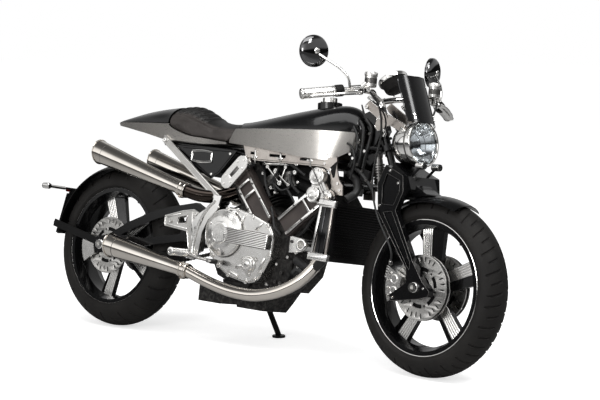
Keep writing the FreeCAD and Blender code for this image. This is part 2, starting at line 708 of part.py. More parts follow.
def tower(angle):
    # The flat cover of the cam drive, with two long ribs and a cross rib on its face.
    outer = -HEAD_HALF_WIDTH - TOWER_DEPTH
    start = bank_point(angle, BARREL_START * HALF, 0, -HEAD_HALF_WIDTH - TOWER_DEPTH / 2)
    end = bank_point(angle, HEAD_END, 0, -HEAD_HALF_WIDTH - TOWER_DEPTH / 2)
    parts = [bar(start, end, TOWER_WIDTH, TOWER_DEPTH, SIDE)]
    rib_y = outer
    offset = TOWER_WIDTH / 2 - TOWER_RIB_WIDTH
    for side in (-1, 1):
        foot = bank_point(angle, BARREL_START * HALF, side * offset, rib_y)
        head = bank_point(angle, HEAD_END, side * offset, rib_y)
        parts.append(bar(foot, head, TOWER_RIB_WIDTH, TOWER_RIB_RISE * 2, SIDE))
    middle = HEAD_START * TOWER_CROSS_SHARE
    near = bank_point(angle, middle, -offset, rib_y)
    far = bank_point(angle, middle, offset, rib_y)
    parts.append(bar(near, far, TOWER_RIB_WIDTH, TOWER_RIB_RISE * 2, SIDE))
    return joined(parts)


TOWER_CROSS_SHARE = 0.95
CAM_WAIST_SHARE = 1.5
CAM_LINK_SHARE = 0.7
REAR_CAM_SHARES = [(0.4591, 0.4494), (0.4169, 0.4045)]
FRONT_CAM_SHARES = [(0.6955, 0.4312), (0.6896, 0.3883), (0.7299, 0.3857)]
FRONT_CAM_RADIUS_SHARES = [1.08, 0.98, 0.82]


def cam_covers():
    inner = -HEAD_HALF_WIDTH - TOWER_DEPTH - TOWER_RIB_RISE
    outer = inner - CAM_COVER_DEPTH
    rear_spots = spots(REAR_CAM_SHARES, (inner + outer) / 2)
    rear = [bar(rear_spots[0], rear_spots[1], CAM_COVER_RADIUS * CAM_WAIST_SHARE, CAM_COVER_DEPTH, SIDE)]
    for share in REAR_CAM_SHARES:
        rear.append(disc(share, CAM_COVER_RADIUS, outer, inner))
    front = []
    for share, size in zip(FRONT_CAM_SHARES, FRONT_CAM_RADIUS_SHARES):
        front.append(disc(share, CAM_COVER_RADIUS * size, outer, inner))
    front_spots = spots(FRONT_CAM_SHARES, (inner + outer) / 2)
    for end in front_spots[1:]:
        front.append(bar(front_spots[0], end, CAM_COVER_RADIUS, CAM_COVER_DEPTH * CAM_LINK_SHARE, SIDE))
    return [joined(rear), joined(front)]


INTAKE_BOX_SHARES = [
    (0.5195, 0.4643), (0.6396, 0.4545), (0.6234, 0.4156), (0.5877, 0.3831), (0.5455, 0.3844),
    (0.5195, 0.4221),
]
INTAKE_WIDTH_SHARE = 0.7
THROTTLE_RADIUS_SHARE = 0.42
THROTTLE_REAR_SHARES = [(0.4883, 0.4078), (0.5519, 0.4253)]
THROTTLE_FRONT_SHARES = [(0.6558, 0.3974), (0.5942, 0.4156)]


def intake(engine):
    half_width = BARREL_RADIUS * INTAKE_WIDTH_SHARE
    parts = [slab(INTAKE_BOX_SHARES, -half_width, half_width)]
    for shares in (THROTTLE_REAR_SHARES, THROTTLE_FRONT_SHARES):
        for y in (-BARREL_RADIUS * HALF, BARREL_RADIUS * HALF):
            ends = spots(shares, y)
            parts.append(rod(ends[0], ends[1], BARREL_RADIUS * THROTTLE_RADIUS_SHARE))
    return trimmed(joined(parts), engine)


SUMP_SHARES = [
    (0.3286, 0.1506), (0.3299, 0.1006), (0.4026, 0.0994), (0.4039, 0.1026), (0.4584, 0.1026),
    (0.4597, 0.0974), (0.5442, 0.0961), (0.5636, 0.1208), (0.5844, 0.1506),
]

SUMP_WIDTH_SHARE = 0.9


def sump(case):
    half_width = CASE_HALF_WIDTH * SUMP_WIDTH_SHARE
    return trimmed(slab(SUMP_SHARES, -half_width, half_width), [case])


# Cooling
RADIATOR_TOP_SHARE = (0.7617, 0.3714)
RADIATOR_LOW_SHARE = (0.7682, 0.2351)
RADIATOR_CORE_SHARE = 0.86
RADIATOR_CORE_DEPTH_SHARE = 0.8
RADIATOR_TANK_SHARE = 0.12
RADIATOR_FOOT_SHARE = 0.08
RADIATOR_FIN_SHARE = 0.5
RADIATOR_FIN_DEPTH_SHARE = 0.94


def radiator():
    # A finned core between a header tank, a foot and two side tanks.
    top = spot(RADIATOR_TOP_SHARE)
    low = spot(RADIATOR_LOW_SHARE)
    facing = Vector(1, 0, 0)
    width = RADIATOR_HALF_WIDTH * 2
    core_width = width * RADIATOR_CORE_SHARE
    side_width = (width - core_width) / 2
    down = low - top
    tank_end = top + down * RADIATOR_TANK_SHARE
    foot_end = low - down * RADIATOR_FOOT_SHARE
    parts = [bar(top, low, core_width, RADIATOR_THICKNESS * RADIATOR_CORE_DEPTH_SHARE, facing)]
    parts.append(bar(top, tank_end, core_width, RADIATOR_THICKNESS, facing))
    parts.append(bar(low, foot_end, core_width, RADIATOR_THICKNESS, facing))
    for side in (-1, 1):
        shift = SIDE * side * (core_width + side_width) / 2
        parts.append(bar(top + shift, low + shift, side_width, RADIATOR_THICKNESS, facing))
    pitch = (foot_end - tank_end) / RADIATOR_FIN_COUNT
    for index in range(RADIATOR_FIN_COUNT):
        start = tank_end + pitch * (index + RADIATOR_FIN_SHARE / 2)
        end = start + pitch * RADIATOR_FIN_SHARE
        parts.append(bar(start, end, core_width, RADIATOR_THICKNESS * RADIATOR_FIN_DEPTH_SHARE, facing))
    return joined(parts)


# Exhaust
FRONT_HEADER_SHARES = [
    (0.7221, -0.0221, 0.3610), (0.7299, -0.0403, 0.3312), (0.7325, -0.0623, 0.2792),
    (0.7247, -0.0831, 0.2247), (0.6896, -0.1000, 0.1779), (0.6364, -0.1104, 0.1481),
    (0.5714, -0.1156, 0.1325), (0.5000, -0.1182, 0.1351), (0.4286, -0.1208, 0.1494),
    (0.3584, -0.1234, 0.1701),
]
LOWER_OUTLET_SHARE = (0.0786, -0.1247, 0.2117)
REAR_HEADER_SHARES = [
    (0.4156, -0.0260, 0.3870), (0.3909, -0.0468, 0.3714), (0.3701, -0.0753, 0.3610),
    (0.3377, -0.0974, 0.3610), (0.3052, -0.1039, 0.3688),
]
UPPER_OUTLET_SHARE = (-0.0234, -0.1039, 0.4519)


def silencer(joint, outlet):
    # A long cone with a collar at the pipe. Its open mouth is cut off upright.
    direction = outlet - joint
    direction.normalize()
    collar_end = joint + direction * SILENCER_MOUTH_DEPTH
    parts = [rod(joint, collar_end, SILENCER_JOINT_RADIUS)]
    far = outlet + direction * SILENCER_OUTLET_RADIUS
    parts.append(rod(collar_end, far, SILENCER_JOINT_RADIUS - SILENCER_WALL, SILENCER_OUTLET_RADIUS))
    solid = joined(parts)
    mouth = outlet - direction * SILENCER_MOUTH_DEPTH
    inner = SILENCER_OUTLET_RADIUS - SILENCER_WALL
    recess = rod(mouth, far, inner - SILENCER_WALL * 2, inner)
    size = SILENCER_OUTLET_RADIUS * 4
    beyond = Part.makeBox(size, size, size, outlet - Vector(size, size / 2, size / 2))
    return solid.cut([recess, beyond])


def silencers():
    lower = silencer(spaces(FRONT_HEADER_SHARES)[-1], space(LOWER_OUTLET_SHARE))
    upper = silencer(spaces(REAR_HEADER_SHARES)[-1], space(UPPER_OUTLET_SHARE))
    return [lower, upper, mirrored(upper)]


def header_pipes(engine):
    front = tube(spaces(FRONT_HEADER_SHARES), HEADER_RADIUS)
    rear = tube(spaces(REAR_HEADER_SHARES), UPPER_PIPE_RADIUS)
    rear_left = mirrored(rear)
    return [trimmed(pipe, engine) for pipe in (front, rear, rear_left)]


# Tank
TANK_PLAN_SHARES = [
    (0.3870, 0.0675), (0.4221, 0.0766), (0.4935, 0.0883), (0.5844, 0.0922), (0.6558, 0.0870),
    (0.7143, 0.0701), (0.7565, 0.0481), (0.7766, 0.0260),
]
TANK_LOWER_PLAN_SHARES = [
    (0.3922, 0.0623), (0.4221, 0.0701), (0.4935, 0.0805), (0.5844, 0.0844), (0.6558, 0.0792),
    (0.7078, 0.0636), (0.7338, 0.0429), (0.7442, 0.0234),
]
TANK_SIDE_SHARES = [
    (0.3838, 0.5006), (0.4143, 0.5351), (0.7851, 0.5442), (0.7727, 0.5240), (0.7532, 0.5000),
    (0.7273, 0.4818), (0.7013, 0.4721), (0.6364, 0.4753), (0.5526, 0.4857), (0.4545, 0.4948),
]
TANK_DOME_SHARES = [
    (0.3896, 0.0597, 0.5273, 0.5565), (0.4286, 0.0675, 0.5273, 0.5604),
    (0.4935, 0.0792, 0.5273, 0.5727), (0.5584, 0.0831, 0.5273, 0.5870),
    (0.6364, 0.0792, 0.5273, 0.6026), (0.6948, 0.0675, 0.5273, 0.6104),
    (0.7325, 0.0519, 0.5273, 0.6045), (0.7584, 0.0364, 0.5273, 0.5844),
    (0.7714, 0.0234, 0.5273, 0.5597),
]
FILLER_SHARE = (0.6442, 0.6052)
FILLER_TILT = -6.0


def tank_panels():
    upper = plan_section(TANK_PLAN_SHARES, TANK_BASE_Z)
    lower = plan_section(TANK_LOWER_PLAN_SHARES, TANK_FLOOR_Z)
    body = Part.makeLoft([lower, upper], True, True)
    return body.common(slab(TANK_SIDE_SHARES, -RADIATOR_HALF_WIDTH, RADIATOR_HALF_WIDTH))


def filler_frame():
    # The filler's centre and the direction that it faces.
    tilt = math.radians(FILLER_TILT)
    return spot(FILLER_SHARE), Vector(math.sin(tilt), 0, math.cos(tilt))


def tank_top():
    dome = domed(TANK_DOME_SHARES, TANK_SHOULDER_SHARE)
    dome = dome.cut(slab(SEAT_NOTCH_SHARES, -RADIATOR_HALF_WIDTH, RADIATOR_HALF_WIDTH))
    centre, up = filler_frame()
    ring = rod(centre - up * FILLER_HEIGHT, centre + up * FILLER_HEIGHT * RING_RISE_SHARE, RING_RADIUS)
    solid = joined([dome, ring])
    face = centre + up * FILLER_HEIGHT * RING_RISE_SHARE
    across = up.cross(SIDE)
    tools = [rod(face - up * RING_HOLE_DEPTH, face + up * FILLER_HEIGHT, FILLER_RADIUS)]
    for index in range(RING_HOLE_COUNT):
        turn = (index + HALF) * math.tau / RING_HOLE_COUNT
        place = face + (across * math.cos(turn) + SIDE * math.sin(turn)) * RING_PITCH_RADIUS
        tools.append(rod(place - up * RING_HOLE_DEPTH, place + up * FILLER_HEIGHT, RING_HOLE_RADIUS))
    return solid.cut(tools)


RING_RISE_SHARE = 0.75


def fuel_cap():
    centre, up = filler_frame()
    face = centre + up * FILLER_HEIGHT * RING_RISE_SHARE
    return rod(face - up * RING_HOLE_DEPTH, face + up * FILLER_HEIGHT, FILLER_RADIUS)


# Seat and tail
SEAT_STATION_SHARES = [
    (0.1727, 0.0656, 0.5403, 0.5896), (0.1948, 0.0682, 0.5273, 0.5916),
    (0.2240, 0.0695, 0.5182, 0.5903), (0.2532, 0.0695, 0.5117, 0.5831),
    (0.2857, 0.0695, 0.5091, 0.5669), (0.3247, 0.0688, 0.5065, 0.5539),
    (0.3636, 0.0682, 0.5026, 0.5506), (0.3961, 0.0682, 0.4987, 0.5545),
    (0.4253, 0.0675, 0.5000, 0.5623),
]
TAIL_TOP_STATION_SHARES = [
    (-0.0597, 0.0104, 0.5403, 0.5435), (-0.0390, 0.0247, 0.5403, 0.5481),
    (0.0000, 0.0390, 0.5403, 0.5584), (0.0584, 0.0532, 0.5403, 0.5727),
    (0.1169, 0.0610, 0.5403, 0.5831), (0.1727, 0.0649, 0.5403, 0.5896),
]
TAIL_SIDE_SHARES = [
    (-0.0630, 0.5403), (-0.0597, 0.5338), (0.0000, 0.5260), (0.0851, 0.5130), (0.1506, 0.5006),
    (0.1981, 0.4987), (0.2922, 0.4942), (0.3818, 0.4961), (0.3831, 0.5006), (0.2636, 0.5110),
    (0.2039, 0.5247), (0.1779, 0.5403),
]
TAIL_PLAN_SHARES = [
    (-0.0623, 0.0065), (-0.0545, 0.0169), (-0.0260, 0.0312), (0.0260, 0.0468), (0.0909, 0.0584),
    (0.1688, 0.0662), (0.2597, 0.0695), (0.3377, 0.0688), (0.4156, 0.0688),
]
TAIL_LOWER_PLAN_SHARES = [
    (-0.0390, 0.0065), (-0.0286, 0.0156), (0.0000, 0.0273), (0.0390, 0.0390), (0.0974, 0.0494),
    (0.1688, 0.0571), (0.2597, 0.0597), (0.3377, 0.0597), (0.4156, 0.0597),
]


def seat():
    solid = domed(SEAT_STATION_SHARES, SEAT_SHOULDER_SHARE)
    return solid.cut(slab(TANK_EDGE_SHARES, -RADIATOR_HALF_WIDTH, RADIATOR_HALF_WIDTH))


SEAT_NOTCH_SHARES = [
    (0.3636, 0.4935), (0.3799, 0.4961), (0.4221, 0.5435), (0.3870, 0.5623), (0.3636, 0.5714),
]
TANK_EDGE_SHARES = [
    (0.3799, 0.4961), (0.4221, 0.5435), (0.3870, 0.5623), (0.4545, 0.5844), (0.4545, 0.4545),
    (0.3636, 0.4740),
]


def tail_top():
    return domed(TAIL_TOP_STATION_SHARES, TAIL_SHOULDER_SHARE)


def tail_cowl(neighbours):
    top = TAIL_TOP_STATION_SHARES[0][2] * WHEELBASE
    floor = top - TAIL_DEPTH
    upper = plan_section(TAIL_PLAN_SHARES, top)
    lower = plan_section(TAIL_LOWER_PLAN_SHARES, floor)
    body = Part.makeLoft([lower, upper], True, True)
    body = body.common(slab(TAIL_SIDE_SHARES, -RADIATOR_HALF_WIDTH, RADIATOR_HALF_WIDTH))
    return trimmed(body, neighbours)


# Frame
FRAME_SHARES = [
    (0.7961, 0.6039), (0.7766, 0.6221), (0.7519, 0.6130), (0.7597, 0.5922), (0.7870, 0.5468),
    (0.7727, 0.5000), (0.7442, 0.4649), (0.7221, 0.4545), (0.7260, 0.3974), (0.7571, 0.3974),
    (0.7636, 0.4390), (0.7831, 0.4831), (0.8091, 0.5234), (0.8195, 0.5519),
]
HEAD_TUBE_LOW_Z = 846.0
HEAD_TUBE_HIGH_Z = 930.0
FRAME_HALF_WIDTH = 30.0
SPINE_SHARES = [
    (0.7468, 0.4649), (0.7273, 0.4545), (0.3896, 0.4792), (0.3896, 0.4909), (0.7208, 0.4753),
]
SUBFRAME_SHARES = [(0.4545, 0.4701), (0.3896, 0.4818), (0.2922, 0.4857), (0.1532, 0.4922)]
PIVOT_UPPER_SHARE = (0.7766, 0.5104)
PIVOT_LOWER_SHARE = (0.7416, 0.4156)
PIVOT_LOWER_Y = 84.0
PIVOT_UPPER_Y = 52.0
WISHBONE_PIN_RADIUS = 10.0
LOWER_EYE_Z = 655.0
UPPER_EYE_Z = 790.0
WISHBONE_EYE_SHARE = 1.6
UPPER_ARM_SHARE = 0.8


def subframe_tubes():
    path = [Vector(point.x, SUBFRAME_Y, point.z) for point in spots(SUBFRAME_SHARES)]
    rail = tube(path, SUBFRAME_RADIUS)
    crosses = []
    for share in (SUBFRAME_SHARES[1], SUBFRAME_SHARES[3]):
        crosses.append(disc(share, SUBFRAME_RADIUS, -SUBFRAME_Y, SUBFRAME_Y))
    return [rail, mirrored(rail)] + crosses


def frame(neighbours):
    parts = [slab(FRAME_SHARES, -FRAME_HALF_WIDTH, FRAME_HALF_WIDTH)]
    low = on_steering(HEAD_TUBE_LOW_Z)
    high = on_steering(HEAD_TUBE_HIGH_Z)
    parts.append(rod(low, high, HEAD_TUBE_RADIUS))
    parts.append(slab(SPINE_SHARES, -FRAME_HALF_WIDTH, FRAME_HALF_WIDTH))
    parts.append(disc(PIVOT_UPPER_SHARE, WISHBONE_PIN_RADIUS, -PIVOT_UPPER_Y, PIVOT_UPPER_Y))
    parts.append(disc(PIVOT_LOWER_SHARE, WISHBONE_PIN_RADIUS, -PIVOT_LOWER_Y, PIVOT_LOWER_Y))
    parts += subframe_tubes()
    cross = disc(SUBFRAME_SHARES[0], SUBFRAME_RADIUS, -SUBFRAME_Y, SUBFRAME_Y)
    solid = joined(parts + [cross])
    stem_high = on_steering(HEAD_TUBE_HIGH_Z + HEAD_TUBE_RADIUS * 3)
    stem = rod(on_steering(LOWER_EYE_Z), stem_high, STEM_RADIUS + RUNNING_FIT)
    room = rod(high, high + STEER_AXIS * HEAD_TUBE_RADIUS * 2, HEAD_TUBE_RADIUS * 2)
    return trimmed(solid.cut([stem, room]), neighbours)


def wishbone(eye_z, pivot_share, pivot_y, arm_radius):
    eye = on_steering(eye_z)
    pivot = spot(pivot_share)
    parts = [rod(eye - STEER_AXIS * EYE_HALF_HEIGHT, eye + STEER_AXIS * EYE_HALF_HEIGHT, EYE_RADIUS)]
    for side in (-1, 1):
        end = pivot + SIDE * side * (pivot_y - arm_radius)
        parts.append(rod(eye, end, arm_radius))
        parts.append(rod(end - SIDE * arm_radius, end + SIDE * arm_radius, arm_radius * WISHBONE_EYE_SHARE))
    solid = joined(parts)
    pin = disc(pivot_share, WISHBONE_PIN_RADIUS, -pivot_y * 2, pivot_y * 2)
    stem = rod(eye - STEER_AXIS * OVERRUN * 2, eye + STEER_AXIS * OVERRUN * 2, STEM_RADIUS + RUNNING_FIT)
    return solid.cut([pin, stem])


# Brackets
TANK_RAIL_SHARES = [
    (0.4364, 0.5032), (0.4545, 0.4617), (0.7006, 0.4565), (0.7104, 0.4773), (0.6494, 0.4935),
    (0.5195, 0.5032),
]
FRONT_BRACKET_SHARES = [
    (0.6922, 0.4773), (0.6922, 0.4584), (0.7143, 0.4481), (0.7260, 0.4221), (0.7286, 0.3922),
    (0.7623, 0.3922), (0.7597, 0.4156), (0.7468, 0.4286), (0.7377, 0.4545), (0.7338, 0.4805),
]
RAIL_SLOT_SHARES = [
    [(0.4649, 0.4747), (0.4649, 0.4818), (0.4818, 0.4818), (0.4818, 0.4747)],
    [(0.5260, 0.4721), (0.5260, 0.4792), (0.5779, 0.4779), (0.5779, 0.4708)],
    [(0.6234, 0.4682), (0.6234, 0.4747), (0.6558, 0.4740), (0.6558, 0.4675)],
]
STRUT_TOP_SHARE = (0.1623, -0.0610, 0.5026)
STRUT_LOW_SHARE = (0.3961, -0.0870, 0.3584)


def rail_plates(neighbours):
    inner = RAIL_PLATE_Y
    outer = RAIL_PLATE_Y + RAIL_PLATE_THICKNESS
    plate = joined([slab(TANK_RAIL_SHARES, inner, outer), slab(FRONT_BRACKET_SHARES, inner, outer)])
    for slot in RAIL_SLOT_SHARES:
        plate = plate.cut(slab(slot, inner - OVERRUN, outer + OVERRUN))
    sides = [trimmed(plate, neighbours), trimmed(mirrored(plate), neighbours)]
    ties = []
    for share in (FRONT_BRACKET_SHARES[3], TANK_RAIL_SHARES[1]):
        ties.append(disc(share, WISHBONE_PIN_RADIUS, FRAME_HALF_WIDTH, inner))
    return sides, ties


def rear_strut(side):
    top = space(STRUT_TOP_SHARE)
    low = space(STRUT_LOW_SHARE)
    strut = bar(top, low, STRUT_WIDTH, STRUT_THICKNESS, SIDE)
    return mirrored(strut) if side > 0 else strut


SIDE_PANEL_SHARES = [
    (0.1948, 0.4870), (0.4156, 0.4818), (0.3636, 0.4221), (0.3377, 0.4078), (0.3169, 0.4156),
    (0.2143, 0.4688),
]
BADGE_SHARES = [(0.2649, 0.4760), (0.3364, 0.4747), (0.3370, 0.4474), (0.2662, 0.4487)]
BATTERY_SHARES = [
    (0.1948, 0.4779), (0.4156, 0.4740), (0.3636, 0.4234), (0.3377, 0.4130), (0.2857, 0.4221),
    (0.2143, 0.4649),
]


def side_panel():
    outer = BATTERY_HALF_WIDTH + SIDE_PANEL_THICKNESS
    panel = slab(SIDE_PANEL_SHARES, BATTERY_HALF_WIDTH, outer)
    badge = slab(BADGE_SHARES, outer, outer + BADGE_THICKNESS)
    return joined([panel, badge])


def battery_box(neighbours):
    return trimmed(slab(BATTERY_SHARES, -BATTERY_HALF_WIDTH, BATTERY_HALF_WIDTH), neighbours)


# Rear guard, plate and lamps
BRACE_REAR_SHARE = (-0.2052, 0.2545)
PLATE_TOP_SHARE = (-0.2286, 0.3377)
PLATE_LOW_SHARE = (-0.2545, 0.2273)
PLATE_HALF_WIDTH = 26.0
PLATE_THICKNESS = 3.0
PLATE_ARM_SHARE = (-0.2065, 0.3052)
REAR_INDICATOR_SHARE = (-0.2240, 0.3506)
REAR_INDICATOR_Y = 150.0


def hugger():
    radius = REAR_TYRE_RADIUS + HUGGER_GAP
    guard = arc_band(REAR_AXLE, radius, HUGGER_THICKNESS, HUGGER_HALF_WIDTH, HUGGER_FROM_ANGLE,
                     HUGGER_TO_ANGLE, HUGGER_HALF_WIDTH * HUGGER_CROWN_SHARE)
    parts = [guard]
    for side in (-1, 1):
        y = side * (SWINGARM_INNER_Y - BRACE_THICKNESS / 2)
        start = spot(BRACE_REAR_SHARE, y)
        parts.append(bar(start, REAR_AXLE + SIDE * y, BRACE_WIDTH, BRACE_THICKNESS, SIDE))
        parts.append(rod(start, spot(BRACE_REAR_SHARE, side * HUGGER_HALF_WIDTH * HALF), BRACE_THICKNESS))
    solid = joined(parts)
    tyre_room = tyre_envelope()
    return solid.cut(tyre_room)


HUGGER_CROWN_SHARE = 0.32


def tyre_envelope():
    gap = HUGGER_GAP * HALF
    return tyre(REAR_AXLE, REAR_TYRE_RADIUS + gap, REAR_TYRE_HALF_WIDTH + gap)


def tail_bracket(guard):
    # A narrow plate holder with its arm to the guard, and the stalk with both indicators.
    forward = Vector(1, 0, 0)
    top = spot(PLATE_TOP_SHARE)
    middle = (top + spot(PLATE_LOW_SHARE)) * HALF
    lamps = spot(REAR_INDICATOR_SHARE)
    parts = [bar(top, spot(PLATE_LOW_SHARE), PLATE_HALF_WIDTH * 2, PLATE_THICKNESS, forward)]
    parts.append(bar(spot(PLATE_ARM_SHARE), middle, BRACE_WIDTH, BRACE_WIDTH, Vector(0, 0, 1)))
    stalk_radius = INDICATOR_RADIUS * STALK_SHARE
    parts.append(disc(REAR_INDICATOR_SHARE, stalk_radius, -REAR_INDICATOR_Y, REAR_INDICATOR_Y))
    parts.append(bar(middle, lamps, BRACE_WIDTH, BRACE_THICKNESS, forward))
    parts.append(bar(lamps, top, BRACE_WIDTH * HALF, BRACE_THICKNESS * 2, forward))
    for side in (-1, 1):
        end = lamps + SIDE * side * REAR_INDICATOR_Y
        reach = forward * INDICATOR_LENGTH / 2
        parts.append(rod(end - reach, end + reach, INDICATOR_RADIUS))
    return trimmed(joined(parts), [guard])


# Foot controls
FOOT_PLATE_SHARES = [
    (0.3896, 0.3649), (0.4117, 0.3649), (0.4039, 0.3312), (0.3766, 0.3039), (0.3610, 0.2714),
    (0.3558, 0.2143), (0.3377, 0.2000), (0.3117, 0.2052), (0.3104, 0.2247), (0.3325, 0.2286),
    (0.3299, 0.2662), (0.3247, 0.2935), (0.3429, 0.3156), (0.3831, 0.3416),
]
FOOT_PLATE_WINDOW_SHARES = [(0.3636, 0.3104), (0.3429, 0.2935), (0.3442, 0.2597), (0.3532, 0.2857)]
PEG_SHARE = (0.3208, 0.2156)
PEG_LENGTH = 96.0
PEG_RADIUS = 13.0
LEVER_SHARES = [(0.3208, 0.2156), (0.3636, 0.2065), (0.4208, 0.2026)]


def foot_controls(side, neighbours):
    inner = SWINGARM_INNER_Y + SWINGARM_THICKNESS + CASTING_PROUD
    outer = inner + PIVOT_PLATE_THICKNESS
    plate = slab(FOOT_PLATE_SHARES, inner, outer)
    plate = plate.cut(slab(FOOT_PLATE_WINDOW_SHARES, inner - OVERRUN, outer + OVERRUN))
    peg = disc(PEG_SHARE, PEG_RADIUS, inner, outer + PEG_LENGTH)
    lever_y = outer + PEG_RADIUS * HALF
    ends = spots(LEVER_SHARES, lever_y)
    parts = [plate, peg]
    for start, end in zip(ends, ends[1:]):
        parts.append(rod(start, end, PEG_RADIUS * HALF))
    parts.append(disc(LEVER_SHARES[-1], PEG_RADIUS * HALF, lever_y, lever_y + PEG_LENGTH * HALF))
    solid = joined(parts)
    if side < 0:
        solid = mirrored(solid)
    return trimmed(solid, neighbours)


# Fork and front wheel carrier
BLADE_SHARES = [
    (0.8649, 0.4299), (0.8857, 0.4740), (0.9396, 0.4513), (0.9442, 0.4156), (0.9253, 0.3714),
    (0.9896, 0.2597), (1.0221, 0.2169), (1.0442, 0.1987), (1.0416, 0.1857), (1.0130, 0.1779),
    (0.9312, 0.1656), (0.9273, 0.1792), (0.9740, 0.2104), (0.9714, 0.2416), (0.8727, 0.3649),
]
YOKE_SHARES = [(0.8961, 0.4052), (0.8909, 0.4818), (0.9396, 0.4513), (0.9519, 0.4221), (0.9325, 0.4078)]
TOP_CLAMP_Z = 946.0
TOP_CLAMP_HEIGHT = 12.0
UPPER_LUG_LOW_Z = 683.0
UPPER_LUG_HIGH_Z = 716.0
LOWER_LUG_LOW_Z = 612.0
LOWER_LUG_HIGH_Z = 640.0
LUG_REACH_SHARE = 1.9
LUG_WIDTH_SHARE = 1.6
LUG_HEIGHT_SHARE = 0.94
AXLE_BOSS_SHARE = 1.2
BLADE_POCKET_DEPTH = 5.0
BLADE_POCKET_SHARES = [
    [(0.8890, 0.3649), (0.9140, 0.3690), (0.9812, 0.2571), (0.9805, 0.2403), (0.9740, 0.2480)],
    [
        (0.8831, 0.3838), (0.8805, 0.4247), (0.8909, 0.4545),
        (0.9312, 0.4403), (0.9325, 0.4156), (0.9175, 0.3831),
    ],
]
FRONT_INDICATOR_SHARE = (0.9591, 0.4773)
FRONT_INDICATOR_Y = 43.0
FRONT_STALK_SHARE = (0.9286, 0.4481)


def fork():
    # Two cast blades with sunk outer faces, joined by the yoke that turns on both eyes.
    outer = FORK_INNER_Y + FORK_THICKNESS
    blade = slab(BLADE_SHARES, FORK_INNER_Y, outer)
    for pocket in BLADE_POCKET_SHARES:
        blade = blade.cut(slab(pocket, outer - BLADE_POCKET_DEPTH, outer + OVERRUN))
    yoke = slab(YOKE_SHARES, -FORK_INNER_Y, FORK_INNER_Y)
    parts = [blade, mirrored(blade), yoke]
    for low_z, high_z in ((UPPER_LUG_LOW_Z, UPPER_LUG_HIGH_Z), (LOWER_LUG_LOW_Z, LOWER_LUG_HIGH_Z)):
        low = on_steering(low_z)
        high = on_steering(high_z)
        parts.append(rod(low, high, LUG_RADIUS))
        middle = (low + high) * HALF
        reach = Vector(LUG_RADIUS * LUG_REACH_SHARE, 0, 0)
        thickness = (high_z - low_z) * LUG_HEIGHT_SHARE
        parts.append(bar(middle, middle + reach, LUG_RADIUS * LUG_WIDTH_SHARE, thickness, STEER_AXIS))
    boss = rod(FRONT_AXLE + SIDE * FORK_INNER_Y, FRONT_AXLE + SIDE * outer, FORK_THICKNESS * AXLE_BOSS_SHARE)
    parts += [boss, mirrored(boss)]
    for side in (-1, 1):
        lamp = spot(FRONT_INDICATOR_SHARE, side * FRONT_INDICATOR_Y)
        root = spot(FRONT_STALK_SHARE, side * FRONT_INDICATOR_Y)
        parts.append(rod(root, lamp, INDICATOR_RADIUS * STALK_SHARE))
        half_lamp = Vector(INDICATOR_LENGTH * HALF, 0, 0)
        parts.append(rod(lamp - half_lamp * HALF, lamp + half_lamp, INDICATOR_RADIUS))
    stem = rod(on_steering(LOWER_LUG_LOW_Z), on_steering(TOP_CLAMP_Z), STEM_RADIUS)
    room = rod(on_steering(LOWER_LUG_HIGH_Z), on_steering(UPPER_LUG_LOW_Z), LUG_RADIUS + CLEARANCE * OVERRUN)
    body = joined(parts).cut(room)
    body = joined([body, stem])
    return body.cut(rod(FRONT_AXLE - SIDE * outer * 2, FRONT_AXLE + SIDE * outer * 2, AXLE_RADIUS))


def handlebar():
    base = on_steering(TOP_CLAMP_Z)
    clamp_low = on_steering(HEAD_TUBE_HIGH_Z) + STEER_AXIS * CLEARANCE * 2
    clamp = rod(clamp_low, base + STEER_AXIS * TOP_CLAMP_HEIGHT, STEM_RADIUS * 2)
    parts = [clamp]
    path = spaces(BAR_SHARES)
    parts.append(tube(path, BAR_RADIUS))
    parts.append(mirrored(parts[-1]))
    solid = joined(parts)
    stem = rod(on_steering(LOWER_LUG_LOW_Z), base, STEM_RADIUS)
    return solid.cut(stem)


BAR_SHARES = [
    (0.7948, -0.0052, 0.6221), (0.8039, 0.0325, 0.6312), (0.8377, 0.0779, 0.6390),
    (0.8481, 0.1169, 0.6396), (0.8377, 0.1558, 0.6351), (0.8221, 0.1883, 0.6292),
    (0.7883, 0.2623, 0.6143),
]
GRIP_START_SHARE = 0.06
LEVER_BASE_SHARE = (0.8558, 0.1390, 0.6312)
LEVER_TIP_SHARE = (0.8091, 0.2416, 0.6130)
RESERVOIR_LOW_SHARE = (0.8610, 0.1143, 0.6494)
RESERVOIR_HEIGHT = 48.0
RESERVOIR_RADIUS = 21.0
LEVER_ROOT_SHARE = 0.6
LEVER_TIP_SIZE_SHARE = 0.45
PERCH_SHARES = [(0.8390, 0.1532, 0.6351), (0.8481, 0.1331, 0.6390)]


def grip():
    start, outer = spaces(BAR_SHARES[-2:])
    inner = start + (outer - start) * GRIP_START_SHARE
    sleeve = rod(inner, outer, GRIP_RADIUS)
    bore = rod(inner, outer, BAR_RADIUS + RUNNING_FIT)
    return sleeve.cut(bore)


def control():
    perch = spaces(PERCH_SHARES)
    parts = [rod(perch[0], perch[1], GRIP_RADIUS)]
    base = space(LEVER_BASE_SHARE)
    tip = space(LEVER_TIP_SHARE)
    parts.append(rod(base, tip, BAR_RADIUS * LEVER_ROOT_SHARE, BAR_RADIUS * LEVER_TIP_SIZE_SHARE))
    parts.append(rod(perch[1], base, BAR_RADIUS))
    low = space(RESERVOIR_LOW_SHARE)
    parts.append(rod(low, low + Vector(0, 0, RESERVOIR_HEIGHT), RESERVOIR_RADIUS))
    parts.append(rod(perch[1], low + Vector(0, 0, RESERVOIR_RADIUS), BAR_RADIUS))
    return joined(parts)


